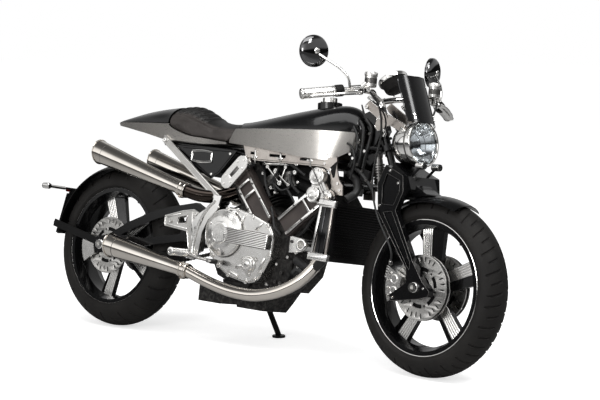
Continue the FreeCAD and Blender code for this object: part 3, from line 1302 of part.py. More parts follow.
MIRROR_SHARE = (0.7688, 0.2117, 0.7175)
MIRROR_ARM_SHARES = [
    (0.8416, 0.1610, 0.6403), (0.8403, 0.1662, 0.6623), (0.8247, 0.1792, 0.6818),
    (0.7766, 0.2091, 0.7130),
]

MIRROR_BACK_SHARE = 0.72
MIRROR_ARM_SIZE_SHARE = 0.42


def mirror_glass():
    centre = space(MIRROR_SHARE)
    turn = math.radians(MIRROR_TURN)
    facing = Vector(-math.cos(turn), -math.sin(turn), 0)
    back = centre - facing * MIRROR_DEPTH
    shell = rod(centre, back, MIRROR_RADIUS, MIRROR_RADIUS * MIRROR_BACK_SHARE)
    arm = tube(spaces(MIRROR_ARM_SHARES), BAR_RADIUS * MIRROR_ARM_SIZE_SHARE)
    return joined([shell, arm])


# Headlamp, screen and instrument
LAMP_FRONT_SHARE = (0.9390, 0.5292)
LAMP_BACK_SHARE = (0.8610, 0.5195)
LAMP_BRACKET_SHARES = [
    (0.7831, 0.6130), (0.7961, 0.6234), (0.8442, 0.5961), (0.9117, 0.5688), (0.9065, 0.5494),
    (0.8636, 0.5662), (0.8286, 0.5519), (0.8169, 0.5623), (0.8234, 0.5818), (0.7922, 0.6013),
]
LAMP_BRACKET_Y = 54.0
LAMP_BRACKET_THICKNESS = 7.0
LAMP_BOWL_SHARE = 0.94
LAMP_GLASS_SHARE = 0.88
LAMP_BULGE_SHARE = 1.68
LAMP_SHELL_STEPS = [
    (0.0, 0.0), (0.3, 0.0), (0.62, 0.14), (0.86, 0.46), (1.0, 0.86), (1.0, 1.0), (0.0, 1.0),
]


def lamp_frame():
    front = spot(LAMP_FRONT_SHARE)
    back = spot(LAMP_BACK_SHARE)
    forward = front - back
    length = forward.Length
    forward.normalize()
    return front, back, forward, length


def headlamp_shell():
    front, back, forward, length = lamp_frame()
    radius = HEADLAMP_RADIUS * LAMP_BOWL_SHARE
    profile = [(radius * across, length * along) for across, along in LAMP_SHELL_STEPS]
    bowl = turned(profile, back, forward)
    rim_low = front - forward * HEADLAMP_RIM_WIDTH
    ring = rod(rim_low, front, HEADLAMP_RADIUS)
    solid = joined([bowl, ring])
    seat_radius = HEADLAMP_RADIUS * LAMP_GLASS_SHARE
    return solid.cut(rod(front - forward * LENS_DEPTH, front + forward * LENS_DEPTH, seat_radius))


def headlamp_lens():
    front, back, forward, length = lamp_frame()
    seat = front - forward * LENS_DEPTH
    disc_lens = rod(seat, front, HEADLAMP_RADIUS * LAMP_GLASS_SHARE)
    bulge_centre = front - forward * HEADLAMP_RADIUS * LAMP_BULGE_SHARE
    bulge = Part.makeSphere(HEADLAMP_RADIUS * (LAMP_BULGE_SHARE + 1 - LAMP_GLASS_SHARE), bulge_centre)
    return disc_lens.common(bulge)


def headlamp_brackets(neighbours):
    inner = LAMP_BRACKET_Y
    plate = slab(LAMP_BRACKET_SHARES, inner, inner + LAMP_BRACKET_THICKNESS)
    solid = joined([plate, mirrored(plate)])
    return trimmed(solid, neighbours)


def fly_screen(neighbours):
    low = spot(SCREEN_LOW_SHARE)
    high = spot(SCREEN_HIGH_SHARE)
    lean = high - low
    axis_low = low - Vector(SCREEN_RADIUS, 0, 0)
    half = math.radians(SCREEN_HALF_ANGLE)
    outline = []
    for radius in (SCREEN_RADIUS, SCREEN_RADIUS - SCREEN_THICKNESS):
        points = []
        for share in (-1, 0, 1):
            turn = half * share
            points.append(axis_low + Vector(math.cos(turn), math.sin(turn), 0) * radius)
        outline.append(points)
    outer, inner = outline
    edges = [
        Part.Arc(outer[0], outer[1], outer[2]).toShape(),
        Part.LineSegment(outer[2], inner[2]).toShape(),
        Part.Arc(inner[2], inner[1], inner[0]).toShape(),
        Part.LineSegment(inner[0], outer[0]).toShape(),
    ]
    shell = Part.Face(Part.Wire(edges)).extrude(lean)
    return trimmed(shell, neighbours)


SCREEN_LOW_SHARE = (0.9494, 0.5766)
SCREEN_HIGH_SHARE = (0.9039, 0.6838)
INSTRUMENT_SHARE = (0.8260, 0.6779)
INSTRUMENT_TILT = 32.0
CUP_LOW_SHARE = 0.7


def instrument():
    centre = spot(INSTRUMENT_SHARE)
    tilt = math.radians(INSTRUMENT_TILT)
    facing = Vector(-math.sin(tilt), 0, math.cos(tilt))
    cup_low = centre - facing * INSTRUMENT_DEPTH
    parts = [rod(cup_low, centre, INSTRUMENT_RADIUS * CUP_LOW_SHARE, INSTRUMENT_RADIUS * LAMP_BOWL_SHARE)]
    parts.append(rod(centre - facing * INSTRUMENT_DEPTH / 4, centre, INSTRUMENT_RADIUS))
    solid = joined(parts)
    face_radius = INSTRUMENT_RADIUS * LAMP_GLASS_SHARE
    face = rod(centre - facing * BADGE_THICKNESS, centre + facing * OVERRUN, face_radius)
    return solid.cut(face)


FENDER_FROM_ANGLE = 66.0
FENDER_TO_ANGLE = 124.0
FENDER_GAP = 8.0
FENDER_CROWN_SHARE = 0.34
FENDER_HALF_WIDTH = 70.0
NOSE_SHARES = [
    (0.9123, 0.4390), (0.9299, 0.4468), (0.9519, 0.4286), (0.9805, 0.4143), (1.0032, 0.4110),
    (1.0032, 0.4039), (0.9351, 0.4039),
]
NOSE_HALF_WIDTH = 40.0


def front_fender(neighbours):
    radius = FRONT_TYRE_RADIUS + FENDER_GAP
    guard = arc_band(FRONT_AXLE, radius, HUGGER_THICKNESS, FENDER_HALF_WIDTH, FENDER_FROM_ANGLE,
                     FENDER_TO_ANGLE, FENDER_HALF_WIDTH * FENDER_CROWN_SHARE)
    room = rod(FRONT_AXLE - SIDE * FENDER_HALF_WIDTH, FRONT_AXLE + SIDE * FENDER_HALF_WIDTH, radius)
    nose = slab(NOSE_SHARES, -NOSE_HALF_WIDTH, NOSE_HALF_WIDTH).cut(room)
    return trimmed(joined([guard, nose]), neighbours)


CALIPER_SPAN_ANGLE = 26.0
CALIPER_CENTRE_ANGLE = 180.0
CALIPER_RIM = 22.0
CALIPER_DEPTH = 44.0


def caliper(centre, disc_inner_y, disc_outer_y, outer_y, middle_angle):
    # A block bowed round the disc's rim with a slot that clears the disc.
    inner_y = disc_inner_y - CALIPER_GAP - CALIPER_RIM * HALF
    top = DISC_RADIUS + CALIPER_RIM
    low = DISC_RADIUS - CALIPER_DEPTH
    profile = [(low, inner_y), (top, inner_y), (top, outer_y), (low, outer_y)]
    points = [centre + Vector(radius, y, 0) for radius, y in profile]
    face = Part.Face(Part.makePolygon(points + points[:1]))
    face.rotate(centre, SIDE, -(middle_angle - CALIPER_SPAN_ANGLE))
    block = face.revolve(centre, -SIDE, CALIPER_SPAN_ANGLE * 2)
    room_low = disc_inner_y - CALIPER_GAP
    room_high = disc_outer_y + CALIPER_GAP
    room = rod(centre + SIDE * room_low, centre + SIDE * room_high, DISC_RADIUS + CALIPER_GAP)
    return block.cut(room)


HOSE_SHARES = [
    (0.8636, 0.1273, 0.6429), (0.8766, 0.0974, 0.6039), (0.8675, 0.0727, 0.5455),
    (0.8558, 0.0701, 0.4805), (0.8519, 0.0701, 0.4221), (0.8766, 0.0701, 0.3506),
    (0.9221, 0.0688, 0.2857), (0.9247, 0.0675, 0.2468),
]


# Side stand
STAND_PIVOT_SHARE = (0.4156, 0.1753)
STAND_PIVOT_Y = 104.0
STAND_ARM_LENGTH = 40.0
PIN_HEAD_SHARE = 1.8
FRONT_SHOCK_LOW_SHARE = (0.8195, 0.4214)
FRONT_SHOCK_HIGH_SHARE = (0.8052, 0.4948)
FRONT_SHOCK_SCALE_SHARE = 0.72


def chain():
    # The chain's loop round both sprockets. Its outline narrows between the pins of its links.
    drive = spot(DRIVE_SHARE)
    low = CHAIN_Y - CHAIN_WIDTH / 2
    loops = []
    for side in (1, -1):
        points = []
        for centre_line, outward in belt_points(REAR_AXLE, SPROCKET_RADIUS, drive, DRIVE_SPROCKET_RADIUS):
            waist = LINK_WAIST if len(points) % 2 else 0
            points.append(centre_line + outward * side * (CHAIN_HEIGHT / 2 - waist) + SIDE * low)
        loops.append(Part.Face(Part.makePolygon(points + points[:1])))
    return loops[0].cut(loops[1]).extrude(SIDE * CHAIN_WIDTH)


def belt_points(first, first_radius, second, second_radius):
    # Evenly spaced places on a tight belt round two wheels, with the direction out of it.
    run = second - first
    heading = math.atan2(run.z, run.x)
    spread = math.acos((first_radius - second_radius) / run.Length)
    straight = math.sqrt(run.Length ** 2 - (first_radius - second_radius) ** 2)
    big_wrap = first_radius * (math.tau - 2 * spread)
    small_wrap = second_radius * 2 * spread
    total = 2 * straight + big_wrap + small_wrap
    count = 2 * round(total / LINK_PITCH)
    for index in range(count):
        along = index * total / count
        if along < big_wrap:
            angle = heading + spread + along / first_radius
            outward = Vector(math.cos(angle), 0, math.sin(angle))
            yield first + outward * first_radius, outward
            continue
        along -= big_wrap
        if along < straight:
            angle = heading - spread
            outward = Vector(math.cos(angle), 0, math.sin(angle))
            start = first + outward * first_radius
            end = second + outward * second_radius
            yield start + (end - start) * (along / straight), outward
            continue
        along -= straight
        if along < small_wrap:
            angle = heading - spread + along / second_radius
            outward = Vector(math.cos(angle), 0, math.sin(angle))
            yield second + outward * second_radius, outward
            continue
        along -= small_wrap
        angle = heading + spread
        outward = Vector(math.cos(angle), 0, math.sin(angle))
        start = second + outward * second_radius
        end = first + outward * first_radius
        yield start + (end - start) * (along / straight), outward


def stand_axis():
    tilt = math.radians(STAND_AXIS_TILT)
    return Vector(0, math.cos(tilt), math.sin(tilt))


def stand_lug():
    # The lug on the crankcase with the stand's pivot pin.
    pivot = spot(STAND_PIVOT_SHARE, STAND_PIVOT_Y)
    axis = stand_axis()
    face = pivot - axis * (STAND_HUB_HALF_LENGTH + CLEARANCE)
    ear = rod(face, face - axis * STAND_EAR_THICKNESS, STAND_HUB_RADIUS)
    pin_end = pivot + axis * (STAND_HUB_HALF_LENGTH + CLEARANCE)
    pin = rod(face, pin_end, STAND_PIN_RADIUS)
    head = rod(pin_end, pin_end + axis * STAND_EAR_THICKNESS / 2, STAND_PIN_RADIUS * PIN_HEAD_SHARE)
    root_point = face - axis * STAND_EAR_THICKNESS / 2
    arm = bar(root_point, root_point - SIDE * STAND_ARM_LENGTH, STAND_HUB_RADIUS * 2, STAND_EAR_THICKNESS,
              Vector(0, 0, 1))
    return [ear, pin, head, arm]


def steered(shape):
    turned_shape = shape.copy()
    turned_shape.rotate(STEER_FOOT, STEER_AXIS, REST_STEER_ANGLE)
    return turned_shape


def tyre_low_point(centre, axle_direction, radius, crown_radius):
    flat = math.sqrt(1 - axle_direction.z ** 2)
    return centre.z - (radius - crown_radius) * flat - crown_radius


def stance(pitch):
    # The turn that leans the machine and lowers its front by the pitch.
    lean = Rotation(Vector(1, 0, 0), -LEAN_ANGLE)
    nod = Rotation(SIDE, pitch)
    return Placement(Vector(), lean.multiply(nod))


def resting_pitch():
    steer = Placement(Vector(), Rotation(STEER_AXIS, REST_STEER_ANGLE), STEER_FOOT)
    centre = steer.multVec(FRONT_AXLE)
    direction = steer.Rotation.multVec(SIDE)
    pitch = 0.0
    for _ in range(PITCH_ROUNDS):
        placed = stance(pitch)
        rear = tyre_low_point(placed.multVec(REAR_AXLE), placed.Rotation.multVec(SIDE),
                              REAR_TYRE_RADIUS, REAR_TYRE_HALF_WIDTH)
        front = tyre_low_point(placed.multVec(centre), placed.Rotation.multVec(direction),
                               FRONT_TYRE_RADIUS, FRONT_TYRE_HALF_WIDTH)
        pitch += math.degrees((front - rear) / WHEELBASE)
    return pitch, rear


PITCH_ROUNDS = 6


def side_stand(place):
    # Built where the machine stands, so that its foot lies flat on the ground.
    pivot = spot(STAND_PIVOT_SHARE, STAND_PIVOT_Y)
    axis = stand_axis()
    out = Vector(STAND_FORWARD, STAND_SPLAY, 0)
    high = place.multVec(pivot + out).z
    drop = (high - STAND_FOOT_THICKNESS) / place.Rotation.multVec(Vector(0, 0, 1)).z
    foot = place.multVec(pivot + out - Vector(0, 0, drop))
    pivot_placed = place.multVec(pivot)
    axis_placed = place.Rotation.multVec(axis)
    hub = rod(pivot_placed - axis_placed * STAND_HUB_HALF_LENGTH,
              pivot_placed + axis_placed * STAND_HUB_HALF_LENGTH, STAND_HUB_RADIUS)
    leg = rod(pivot_placed, foot, STAND_TUBE_RADIUS)
    ground = Vector(foot.x, foot.y, 0)
    pad = rod(ground, ground + Vector(0, 0, STAND_FOOT_THICKNESS), STAND_FOOT_RADIUS)
    room = Part.makeBox(OVERRUN * 10, OVERRUN * 10, OVERRUN * 4,
                        ground - Vector(OVERRUN * 5, OVERRUN * 5, OVERRUN * 4))
    solid = joined([hub, leg, pad]).cut(room)
    bore = rod(pivot_placed - axis_placed * OVERRUN * 2, pivot_placed + axis_placed * OVERRUN * 2,
               STAND_PIN_RADIUS + RUNNING_FIT)
    return solid.cut(bore)


def chassis_nodes():
    nodes = {}
    case = joined([crankcase()] + stand_lug())
    case = trimmed(case, [pivot_shaft()])
    right = trimmed(right_cover(), [case])
    left = trimmed(left_cover(), [case])
    banks = cylinders(joined([case]))
    towers = []
    for angle in (REAR_BANK_ANGLE, FRONT_BANK_ANGLE):
        towers.append(trimmed(tower(angle), [case, right, banks] + towers))
    cams = [trimmed(cover, towers + [banks]) for cover in cam_covers()]
    engine = [case, right, left, banks] + towers + cams
    nodes["crankcase"] = case
    outlet = trimmed(coolant_outlet(), [case, right])
    engine.append(outlet)
    nodes["engine_covers"] = Part.Compound([right, left, outlet] + cams)
    nodes["cylinders"] = banks
    nodes["gear_towers"] = Part.Compound(towers)
    nodes["intake"] = intake(engine)
    nodes["sump"] = sump(case)
    cans = silencers()
    pipes = header_pipes(engine + cans)
    nodes["header_pipes"] = Part.Compound(pipes)
    nodes["silencers"] = Part.Compound(cans)
    castings = both(pivot_casting())
    nodes["pivot_castings"] = castings
    nodes["swingarm"] = trimmed(swingarm(), [castings])
    nodes["pivot_shaft"] = pivot_shaft()
    brace_inner = SWINGARM_INNER_Y - BRACE_THICKNESS
    outer = SWINGARM_INNER_Y + SWINGARM_THICKNESS
    nodes["rear_axle"] = axle(REAR_AXLE, REAR_DISC_Y + DISC_THICKNESS / 2, CHAIN_Y + SPROCKET_THICKNESS / 2,
                              brace_inner, outer)
    nodes["rear_hugger"] = trimmed(hugger(), [nodes["rear_axle"]])
    nodes["tail_bracket"] = tail_bracket(nodes["rear_hugger"])
    faces = (REAR_DISC_Y - DISC_THICKNESS / 2, REAR_DISC_Y + DISC_THICKNESS / 2)
    rear_block = mirrored(caliper(REAR_AXLE, faces[0], faces[1], brace_inner, REAR_CALIPER_ANGLE))
    nodes["rear_caliper"] = trimmed(rear_block, [nodes["rear_hugger"]])
    nodes["chain"] = chain()
    rear_shock = shock(spot(SHOCK_LOW_SHARE), spot(SHOCK_HIGH_SHARE), SHOCK_EYE_RADIUS, SHOCK_BODY_RADIUS,
                       SHOCK_SPRING_RADIUS, SHOCK_EYE_RADIUS)
    scale = FRONT_SHOCK_SCALE_SHARE
    front_shock = shock(spot(FRONT_SHOCK_LOW_SHARE), spot(FRONT_SHOCK_HIGH_SHARE), SHOCK_EYE_RADIUS * scale,
                        SHOCK_BODY_RADIUS * scale, SHOCK_SPRING_RADIUS * scale, SHOCK_EYE_RADIUS * scale)
    panels = tank_panels()
    top = trimmed(tank_top(), [panels])
    cap = fuel_cap()
    nodes["tank_panels"] = panels
    nodes["tank_top"] = top
    nodes["fuel_cap"] = cap
    pad = trimmed(seat(), [panels, top])
    tail = trimmed(tail_top(), [pad])
    cowl = tail_cowl([pad, tail, panels])
    nodes["seat"] = pad
    nodes["tail_top"] = tail
    nodes["tail_cowl"] = cowl
    radiator_block = radiator()
    nodes["radiator"] = radiator_block
    main = frame(engine + [panels, top, cowl, nodes["intake"], radiator_block])
    nodes["frame"] = main
    battery = battery_box([main, cowl] + engine)
    nodes["battery_box"] = battery
    nodes["shocks"] = Part.Compound([
        trimmed(rear_shock, [nodes["swingarm"], battery, case]),
        trimmed(front_shock, [main]),
    ])
    panel = trimmed(side_panel(), [cowl])
    nodes["side_panels"] = both(panel)
    plates, ties = rail_plates([panels] + engine)
    ties = [trimmed(tie, [main] + engine) for tie in ties]
    brackets = [joined([plates[0]] + ties), joined([plates[1]] + [mirrored(tie) for tie in ties])]
    struts = radiator_struts([radiator_block] + engine + pipes + plates)
    nodes["engine_brackets"] = Part.Compound(brackets + struts)
    slim = WISHBONE_PIN_RADIUS * UPPER_ARM_SHARE
    lower = wishbone(LOWER_EYE_Z, PIVOT_LOWER_SHARE, PIVOT_LOWER_Y, WISHBONE_PIN_RADIUS)
    upper = wishbone(UPPER_EYE_Z, PIVOT_UPPER_SHARE, PIVOT_UPPER_Y, slim)
    lower_cross = disc(FRONT_SHOCK_LOW_SHARE, slim, -FRAME_HALF_WIDTH, FRAME_HALF_WIDTH)
    lower = joined([lower, lower_cross])
    fixed = [main, nodes["shocks"]] + plates + engine
    nodes["wishbones"] = Part.Compound([trimmed(lower, fixed), trimmed(upper, fixed)])
    fixed = engine + pipes + [nodes["swingarm"], castings, nodes["silencers"]]
    foot = [foot_controls(side, fixed) for side in (-1, 1)]
    near = foot + [cowl, main, panel, mirrored(panel)] + pipes
    struts = [trimmed(rear_strut(side), near) for side in (-1, 1)]
    nodes["rear_struts"] = Part.Compound(struts)
    nodes["foot_controls"] = Part.Compound(foot)
    return nodes


REAR_CALIPER_ANGLE = 188.0
RADIATOR_STRUT_OUTLINE_SHARES = [
    (0.7130, 0.2416), (0.7558, 0.2390), (0.7558, 0.2532), (0.7286, 0.2558), (0.7442, 0.3403),
    (0.7532, 0.3506), (0.7481, 0.3675), (0.7312, 0.3610), (0.7299, 0.3403), (0.7143, 0.2571),
]
RADIATOR_STRUT_Y = 140.0
RADIATOR_STRUT_THICKNESS = 12.0


def radiator_struts(neighbours):
    low = RADIATOR_STRUT_Y - RADIATOR_STRUT_THICKNESS / 2
    strut = slab(RADIATOR_STRUT_OUTLINE_SHARES, low, low + RADIATOR_STRUT_THICKNESS)
    return [trimmed(strut, neighbours), trimmed(mirrored(strut), neighbours)]


def steering_nodes():
    nodes = {}
    carrier = fork()
    nodes["fork"] = carrier
    outer = FORK_INNER_Y + FORK_THICKNESS
    nodes["front_axle"] = axle(FRONT_AXLE, FRONT_HUB_HALF_WIDTH, FRONT_HUB_HALF_WIDTH, FORK_INNER_Y, outer)
    faces = (FRONT_DISC_INNER_Y - DISC_THICKNESS / 2,
             FRONT_DISC_INNER_Y + FRONT_DISC_SPACING + DISC_THICKNESS / 2)
    block = caliper(FRONT_AXLE, faces[0], faces[1], outer - FORK_THICKNESS / 4, CALIPER_CENTRE_ANGLE)
    block = trimmed(block, [carrier])
    nodes["front_calipers"] = both(block)
    nodes["front_fender"] = front_fender([carrier])
    gauge = instrument()
    bars = handlebar()
    bars = trimmed(bars, [gauge])
    nodes["instrument"] = gauge
    nodes["handlebar"] = bars
    sleeve = grip()
    hand = trimmed(control(), [bars, sleeve])
    nodes["controls"] = Part.Compound([sleeve, mirrored(sleeve), hand, mirrored(hand)])
    glass = trimmed(mirror_glass(), [hand, bars])
    nodes["mirrors"] = both(glass)
    shell = headlamp_shell()
    nodes["headlamp_shell"] = shell
    nodes["headlamp_lens"] = headlamp_lens()
    brackets = headlamp_brackets([shell, bars])
    nodes["headlamp_brackets"] = brackets
    nodes["fly_screen"] = fly_screen([shell, brackets, nodes["headlamp_lens"]])
    hose = trimmed(tube(spaces(HOSE_SHARES), HOSE_RADIUS), [hand, block, carrier, bars])
    nodes["brake_hoses"] = both(hose)
    return nodes


def front_wheel_nodes():
    return {
        "front_tyre": tyre(FRONT_AXLE, FRONT_TYRE_RADIUS, FRONT_TYRE_HALF_WIDTH),
        "front_rim": rim(FRONT_AXLE, FRONT_TYRE_HALF_WIDTH, FRONT_HUB_RADIUS, FRONT_HUB_HALF_WIDTH,
                         FRONT_SPOKE_ANGLE),
        "front_discs": front_discs(),
    }


def rear_wheel_nodes():
    disc_outer = REAR_DISC_Y + DISC_THICKNESS / 2
    sprocket_outer = CHAIN_Y + SPROCKET_THICKNESS / 2
    rear_rim = rim(REAR_AXLE, REAR_TYRE_HALF_WIDTH, REAR_HUB_RADIUS, REAR_HUB_HALF_WIDTH, REAR_SPOKE_ANGLE)
    seat_radius = REAR_HUB_RADIUS * HUB_SEAT_SHARE
    bore = AXLE_RADIUS + RUNNING_FIT
    right_collar = rod(REAR_AXLE - SIDE * disc_outer, REAR_AXLE, seat_radius)
    left_collar = rod(REAR_AXLE, REAR_AXLE + SIDE * sprocket_outer, seat_radius)
    cut = rod(REAR_AXLE - SIDE * disc_outer * 2, REAR_AXLE + SIDE * disc_outer * 2, bore)
    body = joined([rear_rim, right_collar, left_collar]).cut(cut)
    toothed = sprocket(REAR_AXLE, CHAIN_Y, SPROCKET_RADIUS - CLEARANCE * 4, seat_radius)
    return {
        "rear_tyre": tyre(REAR_AXLE, REAR_TYRE_RADIUS, REAR_TYRE_HALF_WIDTH),
        "rear_rim": body,
        "rear_disc": brake_disc(REAR_AXLE, -REAR_DISC_Y, seat_radius),
        "rear_sprocket": toothed,
    }


def all_nodes():
    pitch, low = resting_pitch()
    place = stance(pitch)
    place.Base = Vector(0, 0, -low)
    bodies = {"chassis": chassis_nodes(), "rear_wheel": rear_wheel_nodes()}
    bodies["steering"] = {name: steered(shape) for name, shape in steering_nodes().items()}
    bodies["front_wheel"] = {name: steered(shape) for name, shape in front_wheel_nodes().items()}
    placed = {}
    for body, nodes in bodies.items():
        placed[body] = {}
        for name, shape in nodes.items():
            moved = shape.copy()
            moved.transformShape(place.toMatrix())
            placed[body][name] = moved
    placed["side_stand"] = {"side_stand": side_stand(place)}
    box = FreeCAD.BoundBox()
    for nodes in placed.values():
        for shape in nodes.values():
            box.add(shape.optimalBoundingBox(False))
    shift = Vector(-box.Center.x, -box.Center.y, -box.ZMin)
    for nodes in placed.values():
        for shape in nodes.values():
            shape.translate(shift)
    place.Base = place.Base + shift
    return placed, place


def export(placed):
    os.makedirs("parts", exist_ok=True)
    for nodes in placed.values():
        for name, shape in nodes.items():
            shape.exportStep(os.path.join("parts", name + ".step"))


machine_nodes, machine_place = all_nodes()
export(machine_nodes)
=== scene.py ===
import math
import bmesh
import bpy
import numpy as np
from mathutils import Matrix, Vector
from mathutils.geometry import tessellate_polygon


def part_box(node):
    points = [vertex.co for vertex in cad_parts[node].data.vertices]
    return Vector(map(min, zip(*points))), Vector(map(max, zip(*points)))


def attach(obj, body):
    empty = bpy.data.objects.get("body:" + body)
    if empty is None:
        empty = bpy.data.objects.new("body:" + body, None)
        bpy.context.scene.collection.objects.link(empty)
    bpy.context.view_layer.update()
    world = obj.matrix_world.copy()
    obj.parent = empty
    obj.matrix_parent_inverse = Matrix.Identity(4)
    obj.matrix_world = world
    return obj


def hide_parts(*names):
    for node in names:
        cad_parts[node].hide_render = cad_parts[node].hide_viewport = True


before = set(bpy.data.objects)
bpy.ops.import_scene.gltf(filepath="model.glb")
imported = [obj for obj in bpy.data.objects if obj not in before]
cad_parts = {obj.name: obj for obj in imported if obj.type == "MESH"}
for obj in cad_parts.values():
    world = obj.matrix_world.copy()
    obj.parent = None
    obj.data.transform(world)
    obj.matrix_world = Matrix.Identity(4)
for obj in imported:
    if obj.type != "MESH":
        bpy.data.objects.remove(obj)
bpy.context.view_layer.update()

# Cafe racer motorcycle, dressed over its CAD frame.
# Places are written in millimetres on the upright machine, as a tape would measure it:
# the rear tyre stands at zero, X runs forward, Y to the machine's left and Z up.
# toFrame() steers, leans and moves them to where the CAD machine stands, in metres.

machine = {
    "wheelbase": 1540.0, "rake": 24.0, "trail": 93.0, "lean": 10.0, "steer": -6.0,
    "frontRadius": 312.5, "rearRadius": 324.6, "beadRadius": 228.6,
}
mm = 0.001
tau = math.tau
toRight, toLeft = (0, -1, 0), (0, 1, 0)


def turnMatrix(axis, degrees):
    # Turn about an axis through the origin.
    return np.array(Matrix.Rotation(math.radians(degrees), 3, Vector(axis)))


def boxCentre(node):
    low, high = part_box(node)
    return (np.array(low) + np.array(high)) / 2


rearAxle = np.array([0, 0, machine["rearRadius"]])
frontAxle = np.array([machine["wheelbase"], 0, machine["frontRadius"]])
rake = math.radians(machine["rake"])
steerAxis = np.array([-math.sin(rake), 0, math.cos(rake)])
steerFoot = np.array([machine["wheelbase"] + machine["trail"], 0, 0])
steerTurn = turnMatrix(steerAxis, machine["steer"])
leanTurn = turnMatrix((1, 0, 0), -machine["lean"])
steeredFront = (frontAxle - steerFoot) @ steerTurn.T + steerFoot
# The wheels' centres in the frame give the machine's pitch and its place on the floor.
wheelGap = (boxCentre("front_tyre") - boxCentre("rear_tyre")) / mm @ leanTurn
drawnGap = steeredFront - rearAxle
pitch = math.degrees(math.atan2(drawnGap[2], drawnGap[0]) - math.atan2(wheelGap[2], wheelGap[0]))
standTurn = leanTurn @ turnMatrix((0, 1, 0), pitch)
standShift = boxCentre("rear_tyre") / mm - standTurn @ rearAxle
steered = ("steering", "front_wheel")
print("machine stands with pitch", round(pitch, 3), "shift", standShift.round(1))


def toFrame(points, body):
    points = np.asarray(points, float)
    if body in steered:
        points = (points - steerFoot) @ steerTurn.T + steerFoot
    return (points @ standTurn.T + standShift) * mm


def unit(vector):
    vector = np.asarray(vector, float)
    return vector / np.linalg.norm(vector)


# Shapes: each function gives (points, faces) in millimetres on the upright machine

def smoothLine(points, count):
    # Catmull-Rom curve through the points, sampled evenly by span.
    points = np.asarray(points, float)
    padded = np.vstack([2 * points[0] - points[1], points, 2 * points[-1] - points[-2]])
    place = np.linspace(0, len(points) - 1 - 1e-9, count)
    span = place.astype(int)
    t = (place - span)[:, None]
    a, b, c, d = (padded[span + step] for step in range(4))
    return 0.5 * (2 * b + (c - a) * t + (2 * a - 5 * b + 4 * c - d) * t ** 2
                  + (3 * b - a - 3 * c + d) * t ** 3)


def grid(points, closeU=False, closeV=False):
    # Quads over points[u, v], with either way closed on itself.
    rows, columns = points.shape[:2]
    index = np.arange(rows * columns).reshape(rows, columns)
    if closeU:
        index = np.vstack([index, index[:1]])
    if closeV:
        index = np.hstack([index, index[:, :1]])
    quads = np.stack([index[:-1, :-1], index[1:, :-1], index[1:, 1:], index[:-1, 1:]], axis=-1)
    return points.reshape(-1, 3), quads.reshape(-1, 4).tolist()


def capped(points):
    # A closed ring carried along rows, with both end rings filled.
    rows, columns = points.shape[:2]
    flat, faces = grid(points, closeV=True)
    faces.append(list(range(columns))[::-1])
    faces.append(list(range((rows - 1) * columns, rows * columns)))
    return flat, faces


def together(parts):
    # Many parts as one list of points and faces.
    points, faces, start = [], [], 0
    for partPoints, partFaces in parts:
        points.append(partPoints)
        faces += [[corner + start for corner in face] for face in partFaces]
        start += len(partPoints)
    return np.vstack(points), faces


def frames(path):
    # Tangent and two sides at each point of a path, carried without twist.
    path = np.asarray(path, float)
    along = np.gradient(path, axis=0)
    along /= np.linalg.norm(along, axis=1)[:, None]
    start = np.array([0, 1, 0]) if abs(along[0][1]) < 0.9 else np.array([0, 0, 1])
    sides = []
    side = start
    for tangent in along:
        side = side - tangent * (side @ tangent)
        side = side / np.linalg.norm(side)
        sides.append(side)
    sides = np.array(sides)
    return along, sides, np.cross(along, sides)


def tube(path, radius, around=20):
    # A circle whose radius may change, carried along a path.
    path = np.asarray(path, float)
    radius = np.broadcast_to(np.asarray(radius, float), len(path))
    along, side, up = frames(path)
    turn = np.linspace(0, tau, around, endpoint=False)
    ring = side[:, None] * np.cos(turn)[None, :, None] + up[:, None] * np.sin(turn)[None, :, None]
    return capped(path[:, None] + ring * radius[:, None, None])


def lathe(profile, centre, axis, around=64):
    # A profile of (radius, distance along the axis) turned about the axis. Its ends are filled, and
    # one that closes on the axis ends at a radius of 0.01.
    axis = unit(axis)
    side = np.cross(axis, (0, 0, 1)) if abs(axis[2]) < 0.9 else np.cross(axis, (1, 0, 0))
    side = unit(side)
    up = np.cross(axis, side)
    turn = np.linspace(0, tau, around, endpoint=False)
    ring = side[None] * np.cos(turn)[:, None] + up[None] * np.sin(turn)[:, None]
    profile = np.asarray(profile, float)
    points = centre + ring[None] * profile[:, :1, None] + axis * profile[:, 1:, None]
    return capped(points)


def ringLathe(profile, centre, axis, around=128):
    # A closed profile turned about the axis.
    profile = np.asarray(profile, float)
    points, _ = lathe(profile, centre, axis, around)
    return grid(points.reshape(len(profile), around, 3), closeU=True, closeV=True)


def rounded(outline, radius, steps=5, inset=0.0):
    # The outline moved inward by inset, each corner an arc of the radius or less.
    corners = np.asarray(outline, float)
    area = np.sum(corners[:, 0] * np.roll(corners[:, 1], -1) - np.roll(corners[:, 0], -1) * corners[:, 1])
    if area < 0:
        corners = corners[::-1]
    into = corners - np.roll(corners, 1, axis=0)
    into /= np.linalg.norm(into, axis=1)[:, None]
    out = np.roll(into, -1, axis=0)
    leftIn = np.stack([-into[:, 1], into[:, 0]], axis=1)
    leftOut = np.stack([-out[:, 1], out[:, 0]], axis=1)
    middle = (leftIn + leftOut) / (1 + np.sum(leftIn * leftOut, axis=1))[:, None]
    corners = corners + middle * inset
    before = np.roll(corners, 1, axis=0)
    after = np.roll(corners, -1, axis=0)
    reach = np.minimum(np.linalg.norm(corners - before, axis=1), np.linalg.norm(after - corners, axis=1))
    turnShare = np.sqrt(np.clip((1 - np.sum(into * out, axis=1)) / 2, 0, 1))
    cut = np.minimum(radius * turnShare + 0.01, reach * 0.45)[:, None]
    start, end = corners - into * cut, corners + out * cut
    t = np.linspace(0, 1, steps)[None, :, None]
    bend = (1 - t) ** 2 * start[:, None] + 2 * t * (1 - t) * corners[:, None] + t ** 2 * end[:, None]
    return bend.reshape(-1, 2)


